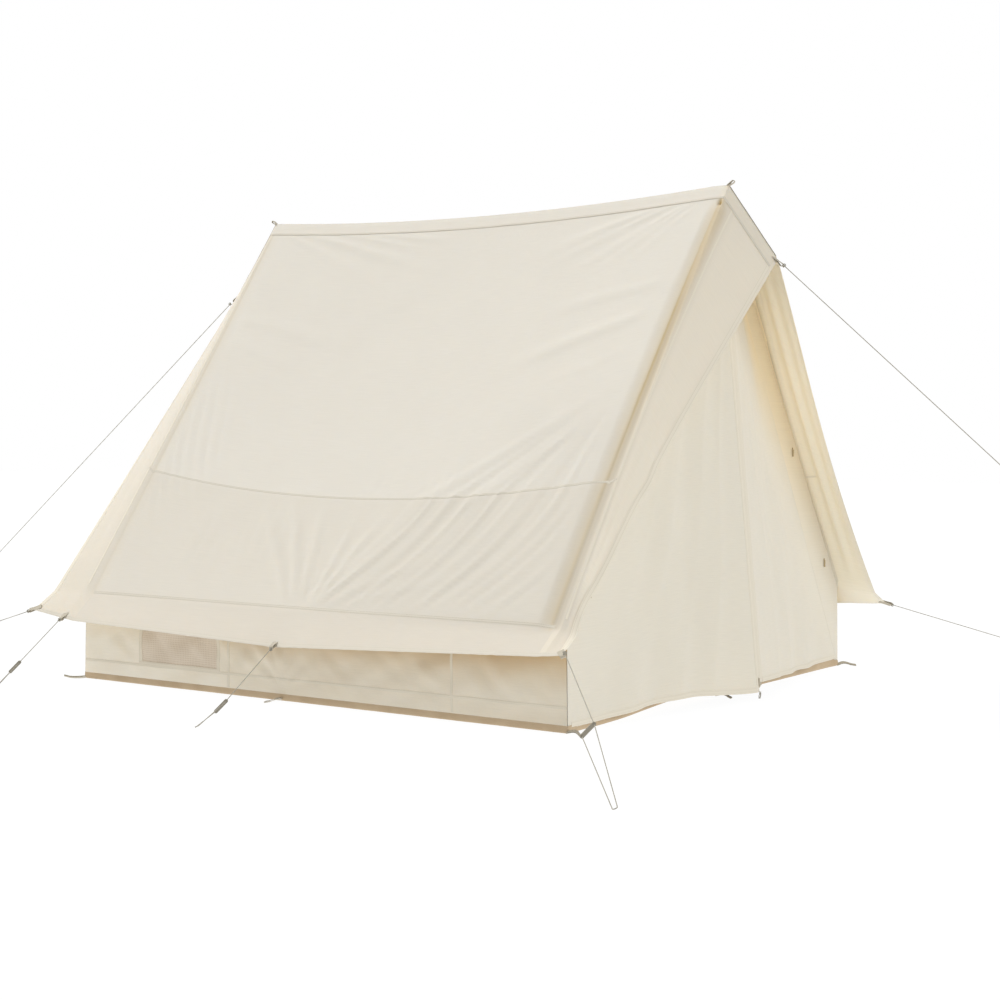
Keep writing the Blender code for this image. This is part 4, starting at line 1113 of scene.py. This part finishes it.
# Door gable
# A canvas surround follows the roof, and two door leaves hang from it along their sewn edges and meet
# at the zip. The leaves flare out at the foot, in soft folds that fan down from the zip's top.
HINGE_TOP_HALF = 0.058
HINGE_TOP_Z = 1.742
HINGE_FOOT_HALF = 1.088
HEM_Z = 0.028
ZIP_TOP_OUT = -0.013
ZIP_FOOT_OUT = 0.159
ZIP_BAND = 0.030
ZIP_SLIT = 0.0015
LEAF_GAP = 0.0006
LEAF_TUCK = 0.006
LEAF_COLUMNS = 90
LEAF_ROWS = 110
LEAF_HEM_WIDTH = 0.018
# Under the canopy the gables stop this short of its outer face, measured sideways
UNDER_CANOPY = 0.0018
UNDER_PULLED_HOOD = 0.0036
HOOD_LAP = 0.012
EDGE_SEARCH_OUT = 0.25
SLOPE = (RIDGE_Z - WALL_Z) / WALL_X

# Painted light: the gable's canvas is painted yellower than the fly's, for the warm light through it, and its
# orange second colour is painted shade
gable_canvas = canvas_finish("cotton_canvas_gable", "#E4DCCB", "#E6C98F")
gable_seam = stitched_finish("gable_seam", "#E3DBC9", "#DAD2BF")


def hinge_x(z):
    return mix(HINGE_FOOT_HALF, HINGE_TOP_HALF, (z - HEM_Z) / (HINGE_TOP_Z - HEM_Z))


def edge_x(z):
    rise = CLOTH_RISE * (z - WALL_Z) / (RIDGE_Z - WALL_Z)
    return min((RIDGE_Z - 0.0055 + rise - z) / SLOPE, WALL_OUT - 0.0005)


def gable_out(z):
    return HALF_LENGTH - END_LEAN * z


def leaf_edge(z):
    return hinge_x(max(z, HEM_Z)) - LEAF_GAP


def leaf_point(side, across, z):
    """Outer face of a leaf. across: 0 at the sewn edge, 1 at the zip."""
    hinge = leaf_edge(z)
    x = mix(hinge, ZIP_SLIT, across)
    out = -HALF_LENGTH - mix(ZIP_FOOT_OUT, ZIP_TOP_OUT, (z - HEM_Z) / (HINGE_TOP_Z - HEM_Z))
    share = min(max(1 - (x - ZIP_BAND) / max(hinge - ZIP_BAND, 0.01), 0.0), 1.0)
    if x <= ZIP_BAND:
        share = 1.0
    y = mix(-gable_out(z), out, share ** 1.6)
    low = 1 - z / HINGE_TOP_Z
    y += 0.007 * math.sin(2 * math.pi * x / 0.27) * math.sin(math.pi * share) ** 2 * mix(0.4, 1.0, low)
    # Folds of two widths fan down from the zip's top
    turn_by = math.atan2(x, HINGE_TOP_Z + 0.10 - z)
    seed = 60.0 + side
    warp = wobble(turn_by * 3.0, z * 1.3, seed)
    folds = 0.0060 * (crest(turn_by * 34.0 + 3.2 * warp, 0.5) - 0.4) * mix(0.45, 1.0, low)
    folds += 0.0026 * (crest(turn_by * 71.0 + 5.0 * warp, 0.45) - 0.4) * mix(0.3, 1.0, low)
    folds += 0.0050 * wobble(x * 4.0, z * 1.6, seed + 5.0)
    y -= folds * math.sin(math.pi * share) * min(1.0, (HINGE_TOP_Z - z) / 0.25)
    # The sewn edge goes on behind the surround
    tuck = 1 - ease(across, 0.0, 0.012)
    return Vector((side * (x + LEAF_TUCK * tuck), y + 0.0010 * tuck, z))


def leaf_hem(side, share):
    """Height of a leaf's lower edge: it lifts between its two pulled corners."""
    if side < 0:
        return 0.019 + 0.008 * share + 0.022 * math.sin(math.pi * share ** 1.3) ** 2
    return 0.034 + 0.030 * share ** 3


for side, word in SIDES:
    def place(i, j):
        share = i / LEAF_COLUMNS
        return leaf_point(side, share, mix(leaf_hem(side, share), HINGE_TOP_Z - LEAF_GAP, j / LEAF_ROWS))

    #     Painted shade and light: the right leaf is painted warmer and a little lighter up along its sewn
    #         edge, in the shade of the hood
    def in_shade(i, j):
        return (1 - ease(i / LEAF_COLUMNS, 0.0, 0.45)) * ease(j / LEAF_ROWS, 0.35, 0.85) if side > 0 else 0.0
    leaf = lay_cloth(word + "_leaf_cloth", LEAF_COLUMNS, LEAF_ROWS, place, (0, -1, 0), (1.10, 1.72),
                     (gable_canvas, canvas_inner_painted_light),
                     {"painted_shade": lambda i, j: 0.5 * in_shade(i, j), "painted_light_and_shade": lambda i, j: 0.25 * in_shade(i, j)})
    make_up(leaf, word + "_door", "canvas", word + "_door_leaf")
    # The left leaf's hem laps 4 mm over the zip, and hides it
    middle, wide, above = (0.009, 0.027, 0.0009) if side < 0 else (0.0165, 0.021, 0.0006)
    paths = {"zip": [((leaf_edge(z) - middle) / (leaf_edge(z) - ZIP_SLIT), z)
                     for z in along_line(0.026, 1.725, 100) if z > leaf_hem(side, 1.0)],
             "foot": [(share, leaf_hem(side, share) + 0.011) for share in along_line(0.01, 0.975, 70)]}
    trims = [seam_tape("%s_leaf_%s_hem" % (word, part), lambda across, z: leaf_point(side, across, z), path,
                       (0, -1, 0), wide if part == "zip" else LEAF_HEM_WIDTH,
                       above if part == "zip" else TAPE_LIFT, finish=gable_seam, body=word + "_door")
             for part, path in paths.items()]


def under_canopy(z):
    return WALL_Z + 0.004 < z < RIDGE_Z - 0.06


@cache
def gable_edge(side, end, z, beyond=0.0):
    """How far out a gable reaches at height z, under the canopy that the arch pole lifts a little."""
    if not under_canopy(z):
        return edge_x(z)
    down = (RIDGE_Z - z) / (RIDGE_Z - WALL_Z)
    out = abs(gable_out(z)) + beyond - ARCH_Y
    # The pulled hood runs on narrower than the others, and turns in towards the gable
    pulled = side < 0 and end < 0
    for _ in range(40 if pulled else 8):
        point = fly_point(side, down, end * (1 + min(out / EDGE_SEARCH_OUT, 1.0)))
        down += (point.z - z) / (RIDGE_Z - WALL_Z)
        out += gable_out(z) + beyond - abs(point.y)
    if pulled:
        return abs(point.x) - UNDER_PULLED_HOOD
    return max(abs(point.x) - UNDER_CANOPY, edge_x(z))


SURROUND_ROWS = steps((TRAY_Z + 0.0003, 60), (HINGE_TOP_Z, 1), (HINGE_TOP_Z + 0.001, 8), (RIDGE_Z - 0.010, 0))
halves = []
for side, word in SIDES:
    def place(i, j):
        z = SURROUND_ROWS[j]
        beside_leaf = z <= HINGE_TOP_Z
        hinge = hinge_x(max(z, HEM_Z)) if beside_leaf else 0.0
        # The first three columns are the margin that lies behind the leaf's sewn edge
        if i < 3:
            least = 0.0 if beside_leaf else 0.0001 * i
            behind = 0.0022 if beside_leaf else 0.0
            return Vector((side * max(hinge - 0.016 + 0.008 * i, least), behind - gable_out(z), z))
        # Beyond the seam under the canopy, the cloth's right edge lies along the hood's inner side
        if i == 11:
            lap = HOOD_LAP if side > 0 and under_canopy(z) else -0.0008
            return Vector((side * (gable_edge(side, -1, z, lap) - 0.0004), -gable_out(z) - lap, z))
        return Vector((side * mix(hinge + 0.0004, gable_edge(side, -1, z), (i - 3) / 7), -gable_out(z), z))

    # Painted shade and light: the right half is painted warmer and a little lighter upwards, in the far
    # hood's shade
    def shade(j):
        return ease(SURROUND_ROWS[j], 0.3, 1.2) if side > 0 else 0.0
    halves.append(lay_cloth("surround_half_" + word, 11, len(SURROUND_ROWS) - 1, place, (0, -1, 0),
                            (0.05, 1.87), (gable_canvas, canvas_inner_painted_light),
                            {"painted_shade": lambda i, j: 0.36 * shade(j), "painted_light_and_shade": lambda i, j: 0.20 * shade(j)}))
surround = halves[0]
select_only(surround)
halves[1].select_set(True)
bpy.ops.object.join()
surround.name = "door_surround"
bpy.ops.object.mode_set(mode="EDIT")
bpy.ops.mesh.select_all(action="SELECT")
bpy.ops.mesh.remove_doubles(threshold=0.0001)
bpy.ops.object.mode_set(mode="OBJECT")
make_up(surround, "tent", "canvas", "front_gable")


# Rear gable
# One closed canvas panel, sewn under the roof and to the floor tray's rim. It is out of the
# photograph's view, and is guessed with a slight belly and folds like the door side's.
REAR_BELLY = 0.35 * ZIP_FOOT_OUT


def rear_point(across, z):
    x = across * gable_edge(-1 if across < 0 else 1, 1, z)
    belly = REAR_BELLY * (1 - z / RIDGE_Z) * ease(z, TRAY_Z, 0.30)
    turn_by = math.atan2(x, RIDGE_Z + 0.1 - z)
    warp = 3.0 * wobble(turn_by * 3.0, z * 1.3, 80.0)
    fold = 0.0030 * ease(z, TRAY_Z, 0.12) * math.sin(turn_by * 30.0 + warp) * min(1.0, (RIDGE_Z - z) / 0.3)
    return Vector((x, gable_out(z) + (belly + fold) * (1 - across * across), z))


rear = lay_cloth("rear_gable_cloth", 110, 100,
                 lambda i, j: rear_point(i / 55 - 1, mix(TRAY_Z + 0.0003, RIDGE_Z - 0.012, j / 100)),
                 (0, 1, 0), (2.20, 1.87), (gable_canvas, canvas_inner_painted_light))
make_up(rear, "tent", "canvas", "rear_gable")
path = [(across, 0.042) for across in along_line(-0.97, 0.97, 80)]
rear_hem = seam_tape("rear_gable_foot_hem", rear_point, path, (0, 1, 0), LEAF_HEM_WIDTH, finish=gable_seam)


# Zip and toggles
# A nylon coil zip behind the leaves' edges, with a slider as pale as its tapes, and waxed toggles
# sewn beside the leaves to hold them rolled up. All of these keep their CAD shapes.
zip_finish = patterned_finish("nylon_coil_zip", "#BDB39E", 0.6, "ShaderNodeTexWave",
                              {"bands_direction": "Z", "Scale": 100.0}, (0.8, 0.0008))
toggle_finish = patterned_finish("waxed_toggle", "#B9A680", 0.55, "ShaderNodeTexNoise",
                                 {"Scale": 400.0, "Detail": 3.0}, (0.2, 0.0003))
dress(zip_finish, "left_zip_tape", "right_zip_tape", "zip_slider")
for _, word in SIDES:
    dress(toggle_finish, "front_%s_lower_toggle" % word, "front_%s_upper_toggle" % word)


# Floor tray
# A proofed floor cloth, turned up 27 mm round its edge, with webbing peg loops sewn to its rim at the
# corners, half way along each side and beside the door.
TRAY_HALF = 1.100
TRAY_THICK = 0.0010
FLOOR_Z = 0.0014
DOOR_PULL = 0.024
PEG_LOOP_WIDTH = 0.013
PEG_LOOP_REACH = 0.080
PEG_LOOP_CURL = 0.009

tray_finish = patterned_finish("proofed_floor_cloth", "#C9BBA2", 0.7, "ShaderNodeTexNoise",
                               {"Scale": 14.0, "Detail": 4.0}, (0.5, 0.004), ("#B39B7B", "#CFBA9A"),
                               {"Specular IOR Level": 0.3})


def rim(half, count):
    """Positions and heights along one direction: up the rim, along the floor, and up the far rim."""
    profile = ((0, TRAY_Z), (0, 0.018), (0, 0.009), (0.001, 0.004), (0.004, FLOOR_Z))
    start = [(inwards - half, z) for inwards, z in profile]
    middle = [(place, FLOOR_Z) for place in along_line(-half + 0.03, half - 0.03, count)]
    return start + middle + [(-place, z) for place, z in reversed(start)]


TRAY_ACROSS = rim(TRAY_HALF, 80)
TRAY_ALONG = rim(HALF_LENGTH, 80)


def tray_point(i, j):
    x, up_x = TRAY_ACROSS[i]
    y, up_y = TRAY_ALONG[j]
    if y < 0:
        up_y *= 1 + (0.45 + 0.35 * ease(x, -0.1, 0.3)) * (1 - ease(abs(x), 1.00, 1.09))
    z = max(up_x, up_y)
    ripple = wobble(x * 9.0, y * 9.0, 90.0)
    # The door pulls the front edge up off the ground, between the left corner and the zip
    pulled_up = DOOR_PULL * hump(x, -0.36, 0.30) * ease(-y, 0.90, HALF_LENGTH)
    if z > 0.003:
        bulge = 0.0022 * (0.6 + ripple) * math.sin(math.pi * min(z / TRAY_Z, 1.0))
        if up_x >= up_y:
            x += math.copysign(bulge, x)
        else:
            y += math.copysign(bulge, y)
        return Vector((x, y, z + pulled_up))
    return Vector((x, y, z + pulled_up + 0.0006 * (1 + ripple)))


tray = lay_cloth("floor_tray", len(TRAY_ACROSS) - 1, len(TRAY_ALONG) - 1, tray_point, None, (2.25, 2.32),
                 (tray_finish,))
make_up(tray, "tent", "ground_cloth", "groundsheet", thick=TRAY_THICK, inwards=1.0)
# Place and direction of each peg loop; the near front corner's points along the gable
straps = [(side * TRAY_HALF, end * HALF_LENGTH, side * (0.35 if side + end == -2 else 1.0), end)
          for side, _ in SIDES for end, _ in ENDS]
straps += [(side * TRAY_HALF, 0.10, side, 0.0) for side, _ in SIDES]
straps += [(-0.04, end * HALF_LENGTH, -0.25, end) for end, _ in ENDS]
peg_loops = [webbing_loop("peg_loop_%d" % index, (x, y, 0.0075), (dx, dy, 0), (0.5 * dy, -0.5 * dx, 1), 0.003,
                          PEG_LOOP_REACH, PEG_LOOP_WIDTH, eye=FLOOR_Z,
                          curl=PEG_LOOP_CURL if index % 2 else -PEG_LOOP_CURL)
             for index, (x, y, dx, dy) in enumerate(straps)]


# Tassel
# Four short ends of 2 mm polyester cord, knotted to the left leaf's corner at the zip's foot. They
# hang down to the ground, and swing with the leaf.
TASSEL_LENGTH = 0.0262
TASSEL_RADIUS = 0.0011

for index, (x, lean) in enumerate(((-0.006, -0.25), (-0.0045, 0.10), (-0.0075, 0.35), (-0.009, -0.05))):
    top = Vector((x, -1.2915 - 0.001 * index, 0.030))
    points = [top + Vector((lean * 0.012 * t, -0.004 * math.sin(t * 2.0 + index), -TASSEL_LENGTH * t))
              for t in along_line(0.0, 1.0, 5)]
    settle(rope("tassel_%d" % index, points, TASSEL_RADIUS), "left_door", "cord")

bpy.context.view_layer.update()
